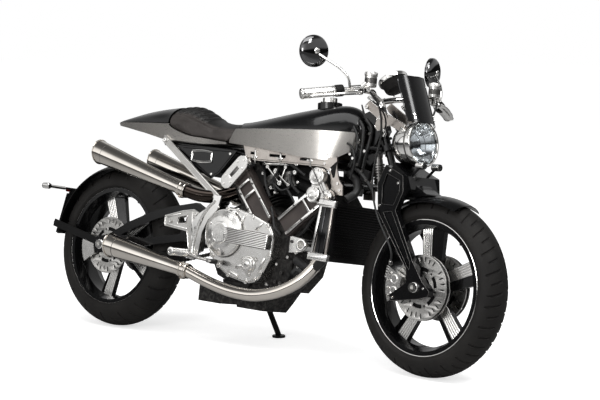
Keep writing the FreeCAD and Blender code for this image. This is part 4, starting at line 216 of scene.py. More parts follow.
def sheetFace(rings, height, flip, place):
    # A flat face with windows, from an outer ring and the rings of its windows.
    loops = [[Vector((x, z, 0)) for x, z in ring] for ring in rings]
    triangles = tessellate_polygon(loops)
    flat = np.vstack(rings)
    points = place(flat, np.full(len(flat), height))
    return points, [list(face)[::-1] if flip else list(face) for face in triangles]


def sideView(flat, y):
    return np.stack([flat[:, 0], y, flat[:, 1]], axis=1)


windowCorner = 0.7


def plate(outline, low, high, bevel=1.5, corner=6.0, windows=(), steps=5, place=sideView):
    # An outline in the side view given thickness, with its own edges and its windows' edges bevelled.
    def ringsAt(inset):
        return [rounded(outline, corner, steps, inset)] + [
            rounded(window, corner * windowCorner, steps, -inset) for window in windows]

    levels = [(bevel, low), (0, low + bevel), (0, high - bevel), (bevel, high)]
    parts = []
    for rings in zip(*(ringsAt(inset) for inset, _ in levels)):
        rows = [place(ring, np.full(len(ring), y)) for ring, (_, y) in zip(rings, levels)]
        parts.append(grid(np.array(rows), closeV=True))
    for y, flip in ((low, True), (high, False)):
        parts.append(sheetFace(ringsAt(bevel), y, flip, place))
    return together(parts)


def bar(start, end, width, thickness, facing, bevel=1.5):
    # A straight bar of soft-edged rectangular section whose broad side looks along facing.
    start, end = np.asarray(start, float), np.asarray(end, float)
    along = unit(end - start)
    across = unit(np.cross(along, facing))
    out = np.cross(across, along)
    half, deep = width / 2, thickness / 2
    ring = rounded([(-half, -deep), (half, -deep), (half, deep), (-half, deep)], bevel, 3)
    length = np.linalg.norm(end - start)
    narrow = 1 - bevel / deep * 0.5
    rows = []
    for shrink, reach in ((narrow, 0), (1, bevel), (1, length - bevel), (narrow, length)):
        rows.append(start + along * reach + across * ring[:, :1] * shrink + out * ring[:, 1:] * shrink)
    return capped(np.array(rows))


def hexBolt(radius, height):
    # A socket head: a rounded collar with a round hole sunk in it.
    return [(radius * 0.7, 0), (radius, 0), (radius, height * 0.7), (radius * 0.86, height), (radius * 0.55, height),
            (radius * 0.5, height * 0.45), (0.01, height * 0.45)]


def repeated(shape, places):
    # One small mesh set at each place.
    points, faces = shape
    places = np.asarray(places, float)
    moved = (places[:, None] + points[None]).reshape(-1, 3)
    step = len(points)
    return moved, [[corner + step * number for corner in face] for number in range(len(places)) for face in faces]


def bolts(places, radius, height, axis=toRight):
    return repeated(lathe(hexBolt(radius, height), np.zeros(3), axis, 12), places)


def ray(turn):
    # A direction in the side view, from a turn in radians.
    return np.array([math.cos(turn), 0, math.sin(turn)])


def hoseSet(runs, count, around=12):
    # Hoses of different radii, each along its own points.
    return [tube(smoothLine(path, count), radius, around) for path, radius in runs]


def addPiece(name, body, shape, finish, replaced=(), sharp=35.0, merge=True):
    # Puts points and faces into a mesh that rides on a body, with faces pointing outwards.
    points, faces = shape
    mesh = bpy.data.meshes.new(name)
    mesh.from_pydata(toFrame(points, body).tolist(), [], faces)
    if merge:
        work = bmesh.new()
        work.from_mesh(mesh)
        bmesh.ops.remove_doubles(work, verts=work.verts, dist=2e-6)
        bmesh.ops.dissolve_degenerate(work, dist=1e-6, edges=work.edges)
        bmesh.ops.recalc_face_normals(work, faces=work.faces)
        work.to_mesh(mesh)
        work.free()
    mesh.shade_smooth()
    mesh.set_sharp_from_angle(angle=math.radians(sharp))
    mesh.materials.append(finishes[finish])
    piece = bpy.data.objects.new(name, mesh)
    bpy.context.scene.collection.objects.link(piece)
    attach(piece, body)
    if replaced:
        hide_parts(*replaced)
    return piece


# Finishes. Colours are the real ones, except the mirror shell's, whose chrome is darkened as a painted dark reflection;
# bump distances are in millimetres.

def newFinish(name, colour, metal, rough, **sockets):
    material = bpy.data.materials.new(name)
    material.use_nodes = True
    tree = material.node_tree
    shader = tree.nodes["Principled BSDF"]
    shader.inputs["Base Color"].default_value = (*colour, 1)
    shader.inputs["Metallic"].default_value = metal
    shader.inputs["Roughness"].default_value = rough
    for socket, value in sockets.items():
        shader.inputs[socket].default_value = value
    return material, tree, shader


def coordinates(tree, stretch=(1, 1, 1), turn=(0, 0, 0), shift=(0, 0, 0)):
    place = tree.nodes.new("ShaderNodeTexCoord")
    mapping = tree.nodes.new("ShaderNodeMapping")
    mapping.inputs["Scale"].default_value = stretch
    mapping.inputs["Rotation"].default_value = turn
    mapping.inputs["Location"].default_value = shift
    tree.links.new(place.outputs["Object"], mapping.inputs["Vector"])
    return mapping.outputs["Vector"]


def noise(tree, scale, detail=3.0, stretch=(1, 1, 1)):
    texture = tree.nodes.new("ShaderNodeTexNoise")
    texture.inputs["Scale"].default_value = scale
    texture.inputs["Detail"].default_value = detail
    texture.inputs["Roughness"].default_value = 0.5
    tree.links.new(coordinates(tree, stretch), texture.inputs["Vector"])
    return texture.outputs["Fac"]


def ranged(tree, value, low, high, fromLow=0.3, fromHigh=0.7):
    node = tree.nodes.new("ShaderNodeMapRange")
    for socket, number in (("From Min", fromLow), ("From Max", fromHigh), ("To Min", low), ("To Max", high)):
        node.inputs[socket].default_value = number
    tree.links.new(value, node.inputs["Value"])
    return node.outputs["Result"]


def blended(tree, factor, first, second):
    node = tree.nodes.new("ShaderNodeMix")
    node.data_type = "RGBA"
    colours = [socket for socket in node.inputs if socket.type == "RGBA"]
    for socket, colour in zip(colours, (first, second)):
        if isinstance(colour, tuple):
            socket.default_value = (*colour, 1)
        else:
            tree.links.new(colour, socket)
    tree.links.new(factor, node.inputs["Factor"])
    return [socket for socket in node.outputs if socket.type == "RGBA"][0]


def combined(tree, operation, first, second):
    node = tree.nodes.new("ShaderNodeMath")
    node.operation = operation
    for socket, value in zip(node.inputs, (first, second)):
        if isinstance(value, (int, float)):
            socket.default_value = value
        else:
            tree.links.new(value, socket)
    return node.outputs[0]


def bumped(tree, shader, height, distance, strength=1.0):
    node = tree.nodes.new("ShaderNodeBump")
    node.inputs["Distance"].default_value = distance
    node.inputs["Strength"].default_value = strength
    tree.links.new(height, node.inputs["Height"])
    tree.links.new(node.outputs["Normal"], shader.inputs["Normal"])


def brushedAlong(tree, shader, vector, amount=0.8):
    # Highlights stretch along the vector, which lies across the brush lines.
    turned = tree.nodes.new("ShaderNodeVectorTransform")
    turned.vector_type = "VECTOR"
    turned.convert_from, turned.convert_to = "OBJECT", "WORLD"
    if isinstance(vector, tuple):
        turned.inputs["Vector"].default_value = vector
    else:
        tree.links.new(vector, turned.inputs["Vector"])
    tree.links.new(turned.outputs["Vector"], shader.inputs["Tangent"])
    shader.inputs["Anisotropic"].default_value = amount


def worn(tree, colour, edgeColour, share):
    # Corners that stick out are rubbed lighter, in patches.
    geometry = tree.nodes.new("ShaderNodeNewGeometry")
    edge = ranged(tree, geometry.outputs["Pointiness"], 0, 1, 0.53, 0.60)
    patchy = ranged(tree, noise(tree, 90, 3), 0, 1, 0.45, 0.6)
    factor = combined(tree, "MULTIPLY", combined(tree, "MULTIPLY", edge, patchy), share)
    return blended(tree, factor, colour, edgeColour)


def grainyFinish(name, colours, metal, roughness, scale, bump, wide, stretch=(1, 1, 1), wear=None, across=None,
                 **sockets):
    # Colour wanders slowly between two shades, roughness and height follow a fine grain.
    material, tree, shader = newFinish(name, colours[0], metal, roughness[0], **sockets)
    slow = noise(tree, wide, 3.0)
    fine = noise(tree, scale, 4.0, stretch)
    colour = blended(tree, ranged(tree, slow, 0, 1), *colours)
    if wear:
        colour = worn(tree, colour, wear, 0.5)
    tree.links.new(colour, shader.inputs["Base Color"])
    tree.links.new(ranged(tree, fine, *roughness), shader.inputs["Roughness"])
    bumped(tree, shader, fine, bump * mm)
    if across:
        brushedAlong(tree, shader, across)
    return material


def turnedFinish(name, colours, roughness, centre, body, rings, bump):
    # Fine rings cut by a lathe round the centre, whose axis lies across the machine.
    material, tree, shader = newFinish(name, colours[0], 1.0, roughness[0])
    middle = toFrame([centre], body)[0]
    axis = unit(toFrame([np.asarray(centre, float) + (0, 100, 0)], body)[0] - middle)
    turn = Vector(axis).rotation_difference(Vector((0, 0, 1))).to_matrix()
    shift = -(turn @ Vector(middle))
    wave = tree.nodes.new("ShaderNodeTexWave")
    wave.wave_type = "RINGS"
    wave.rings_direction = "Z"
    wave.inputs["Scale"].default_value = rings
    wave.inputs["Distortion"].default_value = 0.6
    wave.inputs["Detail"].default_value = 3
    tree.links.new(coordinates(tree, turn=turn.to_euler(), shift=shift), wave.inputs["Vector"])
    slow = noise(tree, 16, 3.0)
    tree.links.new(blended(tree, ranged(tree, slow, 0, 1), *colours), shader.inputs["Base Color"])
    tree.links.new(ranged(tree, wave.outputs["Fac"], *roughness, 0, 1), shader.inputs["Roughness"])
    bumped(tree, shader, wave.outputs["Fac"], bump * mm, 0.7)
    place = tree.nodes.new("ShaderNodeTexCoord")
    away = tree.nodes.new("ShaderNodeVectorMath")
    away.operation = "SUBTRACT"
    away.inputs[1].default_value = tuple(middle)
    tree.links.new(place.outputs["Object"], away.inputs[0])
    brushedAlong(tree, shader, away.outputs["Vector"], 0.75)
    return material


def heatedFinish(name, cool, hot, low, high):
    # Steel pipe that the heat has browned above a height.
    material, tree, shader = newFinish(name, cool, 1.0, 0.16)
    place = tree.nodes.new("ShaderNodeTexCoord")
    split = tree.nodes.new("ShaderNodeSeparateXYZ")
    tree.links.new(place.outputs["Object"], split.inputs["Vector"])
    wander = noise(tree, 9, 3)
    height = combined(tree, "ADD", split.outputs["Z"], combined(tree, "MULTIPLY", wander, 0.03))
    tree.links.new(blended(tree, ranged(tree, height, 0, 1, low, high), cool, hot), shader.inputs["Base Color"])
    fine = noise(tree, 380, 4)
    tree.links.new(ranged(tree, fine, 0.05, 0.14), shader.inputs["Roughness"])
    bumped(tree, shader, fine, 0.002 * mm)
    return material


def rubberFinish(name):
    # Tyre rubber: a dusty wandering black with a fine grain.
    material, tree, shader = newFinish(name, (0.008, 0.0075, 0.007), 0.0, 0.6, **{"Specular IOR Level": 0.16})
    dust = noise(tree, 7, 5)
    grain = noise(tree, 900, 3)
    tree.links.new(blended(tree, ranged(tree, dust, 0, 1), (0.0055, 0.005, 0.0048), (0.013, 0.012, 0.011)),
                   shader.inputs["Base Color"])
    tree.links.new(ranged(tree, grain, 0.5, 0.74), shader.inputs["Roughness"])
    bumped(tree, shader, grain, 0.05 * mm)
    return material


def leatherFinish(name, colours, sewn, rough):
    # Leather grain: small cells with raised middles, over slow changes of colour and sheen.
    # The sewn part of a cushion, marked by its attribute, is of a blacker hide.
    material, tree, shader = newFinish(name, colours[0], 0.0, rough, **{"Specular IOR Level": 0.28})
    cells = tree.nodes.new("ShaderNodeTexVoronoi")
    cells.inputs["Scale"].default_value = 520
    cells.feature = "SMOOTH_F1"
    tree.links.new(coordinates(tree), cells.inputs["Vector"])
    slow = noise(tree, 11, 4)
    marked = tree.nodes.new("ShaderNodeAttribute")
    marked.attribute_name = "sewnPart"
    hide = blended(tree, ranged(tree, slow, 0, 1), *colours)
    tree.links.new(blended(tree, marked.outputs["Fac"], hide, sewn), shader.inputs["Base Color"])
    tree.links.new(ranged(tree, slow, rough - 0.08, rough + 0.1), shader.inputs["Roughness"])
    bumped(tree, shader, combined(tree, "SUBTRACT", 1.0, cells.outputs["Distance"]), 0.22 * mm)
    return material


def glassFinish(name, colour, rough):
    # Clear glass with a faint wander in its polish.
    material, tree, shader = newFinish(name, colour, 0.0, rough, **{"Transmission Weight": 1.0, "IOR": 1.45})
    tree.links.new(ranged(tree, noise(tree, 60), rough, rough + 0.03), shader.inputs["Roughness"])
    return material


blackGloss = {"Specular IOR Level": 0.22, "Coat Weight": 0.22, "Coat Roughness": 0.04}
# Two shades, metal, range of roughness, scale and height of the grain, scale of the patches, and what is special.
grains = {
    "blackPaint": (((0.0018, 0.0018, 0.0020), (0.003, 0.003, 0.0033)), 0.0, (0.12, 0.24), 900, 0.004, 6.0, blackGloss),
    "brushed": (((0.47, 0.45, 0.425), (0.56, 0.54, 0.51)), 1.0, (0.24, 0.40), 1100, 0.02, 5.0,
                {"stretch": (0.02, 1, 1), "across": (0.0, 0.0, 1.0)}),
    "polished": (((0.76, 0.75, 0.73), (0.86, 0.85, 0.83)), 1.0, (0.05, 0.15), 90, 0.006, 12.0),
    "castBright": (((0.62, 0.61, 0.59), (0.84, 0.83, 0.81)), 1.0, (0.18, 0.28), 500, 0.005, 7.0),
    "rawPlate": (((0.42, 0.38, 0.35), (0.56, 0.52, 0.48)), 1.0, (0.24, 0.42), 240, 0.008, 20.0),
    "strutMetal": (((0.46, 0.45, 0.43), (0.56, 0.55, 0.53)), 1.0, (0.24, 0.38), 700, 0.004, 9.0),
    "castDull": (((0.50, 0.49, 0.47), (0.66, 0.65, 0.63)), 1.0, (0.24, 0.38), 500, 0.008, 14.0),
    "satinPipe": (((0.62, 0.58, 0.53), (0.74, 0.70, 0.65)), 1.0, (0.05, 0.13), 380, 0.002, 9.0),
    "blackCast": (((0.0045, 0.0043, 0.0042), (0.0095, 0.0088, 0.0082)), 0.0, (0.42, 0.66), 620, 0.10, 24.0,
                  {"wear": (0.05, 0.048, 0.045), "Specular IOR Level": 0.14}),
    "towerGrey": (((0.034, 0.027, 0.025), (0.050, 0.041, 0.037)), 0.0, (0.38, 0.58), 520, 0.06, 14.0,
                  {"Specular IOR Level": 0.3}),
    "blackSatin": (((0.003, 0.003, 0.0031), (0.006, 0.0058, 0.0057)), 0.0, (0.32, 0.5), 640, 0.03, 12.0,
                   {"Specular IOR Level": 0.12}),
    "darkSteel": (((0.07, 0.068, 0.065), (0.16, 0.155, 0.15)), 1.0, (0.3, 0.5), 300, 0.03, 30.0),
    "blackChrome": (((0.05, 0.05, 0.052), (0.09, 0.09, 0.092)), 1.0, (0.06, 0.16), 200, 0.004, 9.0),
    "machined": (((0.66, 0.65, 0.63), (0.78, 0.77, 0.75)), 1.0, (0.16, 0.28), 600, 0.004, 12.0),
    # The mirror shell is chrome with a dark colour: a painted dark reflection.
    "mirrorShellPaintedDark": (((0.11, 0.11, 0.112), (0.16, 0.16, 0.162)), 1.0, (0.03, 0.08), 200, 0.002, 9.0),
    "mirrorGlass": (((0.82, 0.84, 0.85), (0.86, 0.87, 0.88)), 1.0, (0.01, 0.03), 20, 0.0005, 4.0),
    "hose": (((0.008, 0.008, 0.008), (0.012, 0.012, 0.012)), 0.0, (0.3, 0.5), 1200, 0.05, 20.0,
             {"Specular IOR Level": 0.3}),
}
finishes = {name: grainyFinish(name, *values[:6], **(values[6] if len(values) > 6 else {}))
            for name, values in grains.items()}
finishes.update({
    "rubber": rubberFinish("rubber"),
    "headerPipe": heatedFinish("headerPipe", (0.64, 0.60, 0.55), (0.035, 0.028, 0.024), 0.43, 0.50),
    "lampGlass": glassFinish("lampGlass", (0.90, 0.94, 0.98), 0.0),
    "clearGlass": glassFinish("clearGlass", (0.95, 0.96, 0.96), 0.02),
    "amberGlass": glassFinish("amberGlass", (0.95, 0.42, 0.06), 0.05),
    "redGlass": glassFinish("redGlass", (0.16, 0.008, 0.006), 0.05),
    "leather": leatherFinish("leather", ((0.022, 0.0185, 0.0170), (0.036, 0.031, 0.0285)), (0.006, 0.0056, 0.0054),
                             0.46),
    "frontDiscSteel": turnedFinish("frontDiscSteel", ((0.46, 0.45, 0.43), (0.60, 0.59, 0.57)), (0.2, 0.38), frontAxle,
                                   "front_wheel", 260, 0.03),
    "rearDiscSteel": turnedFinish("rearDiscSteel", ((0.46, 0.45, 0.43), (0.60, 0.59, 0.57)), (0.2, 0.38), rearAxle,
                                  "rear_wheel", 260, 0.03),
    "clutchFace": turnedFinish("clutchFace", ((0.64, 0.63, 0.61), (0.80, 0.79, 0.77)), (0.14, 0.3), (659, -150, 423),
                               "chassis", 320, 0.03),
})

nodeFinish = {
    "crankcase": "blackCast", "engine_covers": "castBright", "cylinders": "blackCast", "gear_towers": "towerGrey",
    "intake": "blackSatin", "sump": "blackCast", "header_pipes": "headerPipe", "silencers": "satinPipe",
    "swingarm": "blackPaint", "pivot_shaft": "darkSteel", "rear_axle": "polished", "rear_hugger": "blackSatin",
    "tail_bracket": "blackSatin", "rear_caliper": "castBright", "chain": "darkSteel", "tank_panels": "brushed",
    "tank_top": "blackPaint", "fuel_cap": "polished", "seat": "leather", "tail_top": "blackPaint",
    "tail_cowl": "brushed", "radiator": "blackSatin", "frame": "blackPaint", "battery_box": "blackSatin",
    "shocks": "darkSteel", "side_panels": "blackPaint", "engine_brackets": "rawPlate", "wishbones": "blackPaint",
    "rear_struts": "strutMetal", "foot_controls": "polished", "fork": "blackPaint", "front_axle": "polished",
    "front_calipers": "castBright", "front_fender": "blackPaint", "instrument": "polished",
    "handlebar": "polished", "controls": "polished", "mirrors": "polished", "headlamp_shell": "polished",
    "headlamp_lens": "polished", "headlamp_brackets": "rawPlate", "fly_screen": "blackPaint",
    "brake_hoses": "hose", "front_tyre": "rubber", "front_rim": "blackPaint", "front_discs": "frontDiscSteel",
    "rear_tyre": "rubber", "rear_rim": "blackPaint", "rear_disc": "rearDiscSteel", "rear_sprocket": "darkSteel",
    "side_stand": "blackSatin", "pivot_castings": "castDull",
}
for node, finish in nodeFinish.items():
    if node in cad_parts:
        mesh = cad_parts[node].data
        mesh.materials.clear()
        mesh.materials.append(finishes[finish])
print("finishes set on", len(nodeFinish), "CAD nodes")


# Floor, lights and camera

studio = {
    "azimuth": 39.19, "elevation": 5.918, "roll": 0.258, "distance": 5683.2, "lens": 92.67,
    # The floor's grey as metal sees it is darker than its own colour: a painted darker reflection.
    "target": (981.04, 0, 584.06), "floorHalf": 60.0, "world": 0.50, "floorLift": 0.59, "floorPaintedReflectionGrey": 0.42,
    # What polished metal sees: share of the height of the sky, and how bright it is there.
    "sky": [(0.0, 0.5), (0.47, 0.5), (0.50, 0.04), (0.555, 0.04), (0.585, 1.0), (0.78, 1.0), (0.86, 0.25), (1.0, 0.10)],
    # The side that metal sees brightest, and how much brighter it is than the rest.
    "brightSide": (-0.17, -0.985), "skyLow": 0.6, "skyRise": 1.5,
}


def makeStage():
    mesh = bpy.data.meshes.new("floor")
    half = studio["floorHalf"]
    mesh.from_pydata([(-half, -half, 0), (half, -half, 0), (half, half, 0), (-half, half, 0)], [], [(0, 1, 2, 3)])
    material, tree, shader = newFinish("paleFloor", (0.84, 0.84, 0.84), 0.0, 0.7)
    shader.inputs["Specular IOR Level"].default_value = 0.0
    path = tree.nodes.new("ShaderNodeLightPath")
    lift = combined(tree, "MULTIPLY", path.outputs["Is Camera Ray"], studio["floorLift"])
    shader.inputs["Emission Color"].default_value = (1, 1, 1, 1)
    # Glossy rays see the floor at a darker grey than its own: a painted darker reflection.
    paintedFloorReflection = (studio["floorPaintedReflectionGrey"],) * 3
    tree.links.new(blended(tree, path.outputs["Is Glossy Ray"], (0.84, 0.84, 0.84), paintedFloorReflection), shader.inputs["Base Color"])
    tree.links.new(lift, shader.inputs["Emission Strength"])
    mesh.materials.append(material)
    floor = bpy.data.objects.new("floor", mesh)
    bpy.context.scene.collection.objects.link(floor)


def makeWorld():
    # White behind the machine, an even light on it, and bright and dark bands for metal to show.
    world = bpy.data.worlds.new("studio")
    bpy.context.scene.world = world
    world.use_nodes = True
    tree = world.node_tree
    background = tree.nodes["Background"]
    path = tree.nodes.new("ShaderNodeLightPath")
    direction = tree.nodes.new("ShaderNodeTexCoord")
    split = tree.nodes.new("ShaderNodeSeparateXYZ")
    tree.links.new(direction.outputs["Generated"], split.inputs["Vector"])
    height = ranged(tree, split.outputs["Z"], 0, 1, -1, 1)
    ramp = tree.nodes.new("ShaderNodeValToRGB")
    stops = ramp.color_ramp.elements
    while len(stops) < len(studio["sky"]):
        stops.new(0.5)
    for stop, (place, level) in zip(stops, studio["sky"]):
        stop.position = place
        stop.color = (level, level, level, 1)
    tree.links.new(height, ramp.inputs["Fac"])
    mirrored = combined(tree, "MAXIMUM", path.outputs["Is Glossy Ray"], path.outputs["Is Transmission Ray"])
    sideX, sideY = studio["brightSide"]
    toSide = combined(tree, "ADD", combined(tree, "MULTIPLY", split.outputs["X"], sideX),
                      combined(tree, "MULTIPLY", split.outputs["Y"], sideY))
    glow = combined(tree, "POWER", combined(tree, "MAXIMUM", toSide, 0.0), 3.0)
    glow = combined(tree, "ADD", combined(tree, "MULTIPLY", glow, studio["skyRise"]), studio["skyLow"])
    bands = combined(tree, "MULTIPLY", ramp.outputs["Color"], glow)
    even = combined(tree, "MULTIPLY", combined(tree, "SUBTRACT", 1.0, mirrored), studio["world"])
    seen = combined(tree, "ADD", combined(tree, "MULTIPLY", mirrored, bands), even)
    camera = path.outputs["Is Camera Ray"]
    rest = combined(tree, "MULTIPLY", combined(tree, "SUBTRACT", 1.0, camera), seen)
    background.inputs["Color"].default_value = (1, 1, 1, 1)
    tree.links.new(combined(tree, "ADD", camera, rest), background.inputs["Strength"])


def makeLight(name, place, target, size, power):
    data = bpy.data.lights.new(name, "AREA")
    data.shape = "RECTANGLE"
    data.size, data.size_y = size
    data.energy = power
    light = bpy.data.objects.new(name, data)
    light.location = place
    light.rotation_euler = (Vector(target) - Vector(place)).to_track_quat("-Z", "Y").to_euler()
    bpy.context.scene.collection.objects.link(light)


def makeCamera():
    # The photograph's viewpoint, fitted to the two wheels with usual tyres and an assumed wheelbase.
    azimuth, elevation = math.radians(studio["azimuth"]), math.radians(studio["elevation"])
    level = math.cos(elevation)
    back = np.array([math.sin(azimuth) * level, -math.cos(azimuth) * level, math.sin(elevation)])
    right = unit(np.cross((0, 0, 1), back))
    up = np.cross(back, right)
    roll = math.radians(studio["roll"])
    sideways = right * math.cos(roll) + up * math.sin(roll)
    upward = -right * math.sin(roll) + up * math.cos(roll)
    place = (np.array(studio["target"]) + back * studio["distance"] + standShift) * mm
    data = bpy.data.cameras.new("camera")
    data.lens = studio["lens"]
    data.sensor_width = 36
    data.clip_end = 200
    camera = bpy.data.objects.new("camera", data)
    turn = Matrix(np.stack([sideways, upward, back], axis=1).tolist()).to_4x4()
    camera.matrix_world = Matrix.Translation(Vector(place)) @ turn
    bpy.context.scene.collection.objects.link(camera)
    bpy.context.scene.camera = camera


makeStage()
makeWorld()
makeCamera()
makeLight("topSoftbox", (0.3, -0.9, 3.4), (0, 0, 0.5), (3.4, 1.8), 70)
makeLight("sideSoftbox", (0.6, -4.4, 1.9), (0, 0, 0.6), (1.6, 1.2), 70)
makeLight("frontStrip", (3.3, -0.9, 3.7), (0.65, 0, 0.9), (0.8, 1.8), 80)
bpy.context.scene.view_settings.view_transform = "Standard"
print("stage, lights and camera set")


# More shapes

def tubeLoop(path, radius, around=10):
    # A small circle carried round a closed path, which needs no ends.
    path = np.asarray(path, float)
    ahead, behind = np.roll(path, -1, axis=0), np.roll(path, 1, axis=0)
    along = ahead - behind
    along /= np.linalg.norm(along, axis=1)[:, None]
    normal = unit(np.linalg.svd(path - path.mean(axis=0))[2][2])
    out = np.cross(along, normal)
    turn = np.linspace(0, tau, around, endpoint=False)
    ring = out[:, None] * np.cos(turn)[None, :, None] + normal * np.sin(turn)[None, :, None]
    return grid(path[:, None] + ring * radius, closeU=True, closeV=True)


def atY(flat, y):
    return sideView(np.asarray(flat, float), np.full(len(flat), float(y)))


def circle(centre, radius, count, start=0.0):
    turn = np.linspace(0, tau, count, endpoint=False) + start
    return np.stack([centre[0] + radius * np.cos(turn), centre[1] + radius * np.sin(turn)], axis=1)


def mirroredShape(shape):
    points, faces = shape
    return points * (1, -1, 1), [list(face)[::-1] for face in faces]


def bothSides(shape):
    return together([shape, mirroredShape(shape)])


def edgeLine(outline, corner, inset, y, radius, steps=4):
    # A thin round line along a plate's edge.
    return tubeLoop(atY(rounded(outline, corner, steps, inset), y), radius, 8)


def flatBars(rows):
    # Bars that lie flat against the machine's side: start, end, width, thickness and bevel of each.
    return [bar(start, end, width, thickness, toLeft, bevel) for start, end, width, thickness, bevel in rows]


def boltPiece(name, body, places, radius, height, finish="polished", pair=True):
    heads = bolts(places, radius, height)
    addPiece(name, body, bothSides(heads) if pair else heads, finish)


# Tyres

tyreSizes = {
    "front_tyre": ("front_wheel", {"centre": frontAxle, "radius": machine["frontRadius"], "half": 60.0,
                                   "pitch": 40.0, "groove": 6.0, "depth": 4.2}),
    "rear_tyre": ("rear_wheel", {"centre": rearAxle, "radius": machine["rearRadius"], "half": 80.0,
                                 "pitch": 58.0, "groove": 6.4, "depth": 4.4}),
}


# How many points go round, down a side wall and over the crown, and what the grooves share.
treadForm = {"around": 1050, "wall": 16, "over": 64, "beadShare": 0.78, "fade": 0.03, "blend": 0.8, "inner": 0.12,
             "longReach": 0.74, "shortReach": 0.56, "centreGrooveFrom": 70}


def tyreSurface(centre, radius, half, pitch, groove, depth):
    # u goes round the wheel and s over the section from bead to bead. Curved grooves are sunk in
    # the crown, and raised rings stand on the side walls.
    bead, crown = half * treadForm["beadShare"], radius - half
    around, wall, over = treadForm["around"], treadForm["wall"], treadForm["over"]
    fade, blend = treadForm["fade"], treadForm["blend"]
    arc = np.linspace(-math.pi / 2, math.pi / 2, over)
    side = np.linspace(0, 1, wall)[:-1]
    bulge = 1.2 * np.sin(side * math.pi) + 0.7 * (np.abs(side - 0.55) < 0.1) + 0.5 * (np.abs(side - 0.12) < 0.06)
    foot = machine["beadRadius"] + 4
    wallR = foot + (crown - foot) * side
    wallY = bead + (half - bead) * side ** 0.8 + bulge
    sectionR = np.concatenate([wallR, crown + half * np.cos(arc), wallR[::-1]])
    sectionY = np.concatenate([-wallY, half * np.sin(arc), wallY[::-1]])
    share = np.concatenate([np.full(wall - 1, -1.2), arc / (math.pi / 2), np.full(wall - 1, 1.2)])
    u = np.linspace(0, tau, around, endpoint=False)[:, None]
    s = share[None]
    count = round(tau * radius / pitch)
    bend = np.abs(s) * 1.25 - 0.6 * s ** 2
    phase = (u / tau * count + np.where(s > 0, 0.5, 0) + bend) % 1
    off = np.abs(phase - 0.5) * pitch
    cut = np.clip((groove / 2 + blend - off) / blend, 0, 1)
    reach = np.where((u / tau * count + bend) % 2 < 1, treadForm["longReach"], treadForm["shortReach"])
    span = np.clip((np.abs(s) - treadForm["inner"]) / fade, 0, 1) * np.clip((reach - np.abs(s)) / fade, 0, 1)
    centreCut = np.clip((0.035 - np.abs(s)) / 0.02, 0, 1) * 0.6
    sink = depth * np.maximum(cut * span, centreCut * (half > treadForm["centreGrooveFrom"]))
    outR = np.concatenate([np.zeros(wall - 1), np.cos(arc), np.zeros(wall - 1)])[None]
    outY = np.concatenate([-np.ones(wall - 1), np.sin(arc), np.ones(wall - 1)])[None]
    r = sectionR[None] - sink * outR
    y = sectionY[None] - sink * outY
    points = np.stack([centre[0] + r * np.cos(u), centre[1] + y, centre[2] + r * np.sin(u)], axis=-1)
    return grid(points, closeU=True, closeV=True)


for node, (body, sizes) in tyreSizes.items():
    addPiece(node + "_tread", body, tyreSurface(**sizes), "rubber", (node,),
             merge=False)
print("tyres made")


# Wheels: ribbed bright faces on the spokes, a bright line round each rim, and valves

wheelSizes = {
    "front": {"body": "front_wheel", "centre": frontAxle, "first": 20.5, "hub": 42.0, "half": 60.0},
    "rear": {"body": "rear_wheel", "centre": rearAxle, "first": 38.0, "hub": 60.0, "half": 80.0},
}
spokeFace = {"count": 5, "width": 84.0, "facet": 0.6, "thickness": 44.0, "rootShare": 0.7, "ribs": 5, "rise": 2.4,
             "barrel": 210.6, "flangeThickness": 7.0}


def spokeRibs(centre, angle, hub, side):
    # Along the spoke its width and depth grow evenly. Across its flat face stand round ribs.
    across = np.linspace(0, 1, spokeFace["ribs"] * 12 + 1)
    wave = np.abs(np.sin(across * math.pi * spokeFace["ribs"])) ** 0.4
    radius = np.linspace(hub * 0.95, spokeFace["barrel"] - 1, 14)
    grow = (radius - hub / 2) / (spokeFace["barrel"] - hub / 2)
    share = spokeFace["rootShare"] + (1 - spokeFace["rootShare"]) * grow
    half = spokeFace["width"] / 2 * share
    inner = half - spokeFace["width"] * spokeFace["facet"] * share
    depth = spokeFace["thickness"] / 2 * share
    fade = np.clip(np.minimum(np.arange(14), np.arange(14)[::-1]) / 1.0, 0.05, 1)
    sideways = inner[:, None] + 1.2 + (half - inner - 2.4)[:, None] * across
    height = depth[:, None] + 0.4 + spokeFace["rise"] * wave[None] * fade[:, None]
    sideways = np.hstack([sideways, half[:, None] - 1.4, inner[:, None] + 1.4])
    height = np.hstack([height, depth[:, None] - 2, depth[:, None] - 2])
    sideways = sideways * -side
    aslant = np.array([-math.sin(angle), 0, math.cos(angle)])
    points = (centre + ray(angle) * radius[:, None, None] + aslant * sideways[..., None]
              + np.array([0, side, 0]) * height[..., None])
    return capped(points)


for name, wheel in wheelSizes.items():
    angles = np.radians(wheel["first"]) + np.arange(spokeFace["count"]) * tau / spokeFace["count"]
    ribs = [spokeRibs(wheel["centre"], angle, wheel["hub"], side) for angle in angles for side in (-1, 1)]
    addPiece(name + "_spoke_ribs", wheel["body"], together(ribs), "machined")
    edge = wheel["half"] * treadForm["beadShare"] + spokeFace["flangeThickness"]
    lip = [(236.2, edge - 0.4), (238.4, edge - 0.2), (238.6, edge + 0.7), (237.4, edge + 1.1), (236.0, edge + 0.5)]
    line = ringLathe(lip, wheel["centre"], toLeft, 160)
    addPiece(name + "_rim_line", wheel["body"], bothSides(line), "polished")
    outward = ray(np.radians(wheel["first"] + 36))
    foot = wheel["centre"] + outward * 222
    stem = lathe([(4.5, 0), (4.5, 5), (3, 7), (3, 22), (3.6, 22.5), (3.6, 31), (2.6, 32), (0.01, 32)], foot, -outward,
                 14)
    addPiece(name + "_valve", wheel["body"], stem, "darkSteel")
print("spokes, rim lines and valves made")


# Brake discs: a thin steel plate with short slots round it and curved windows inside

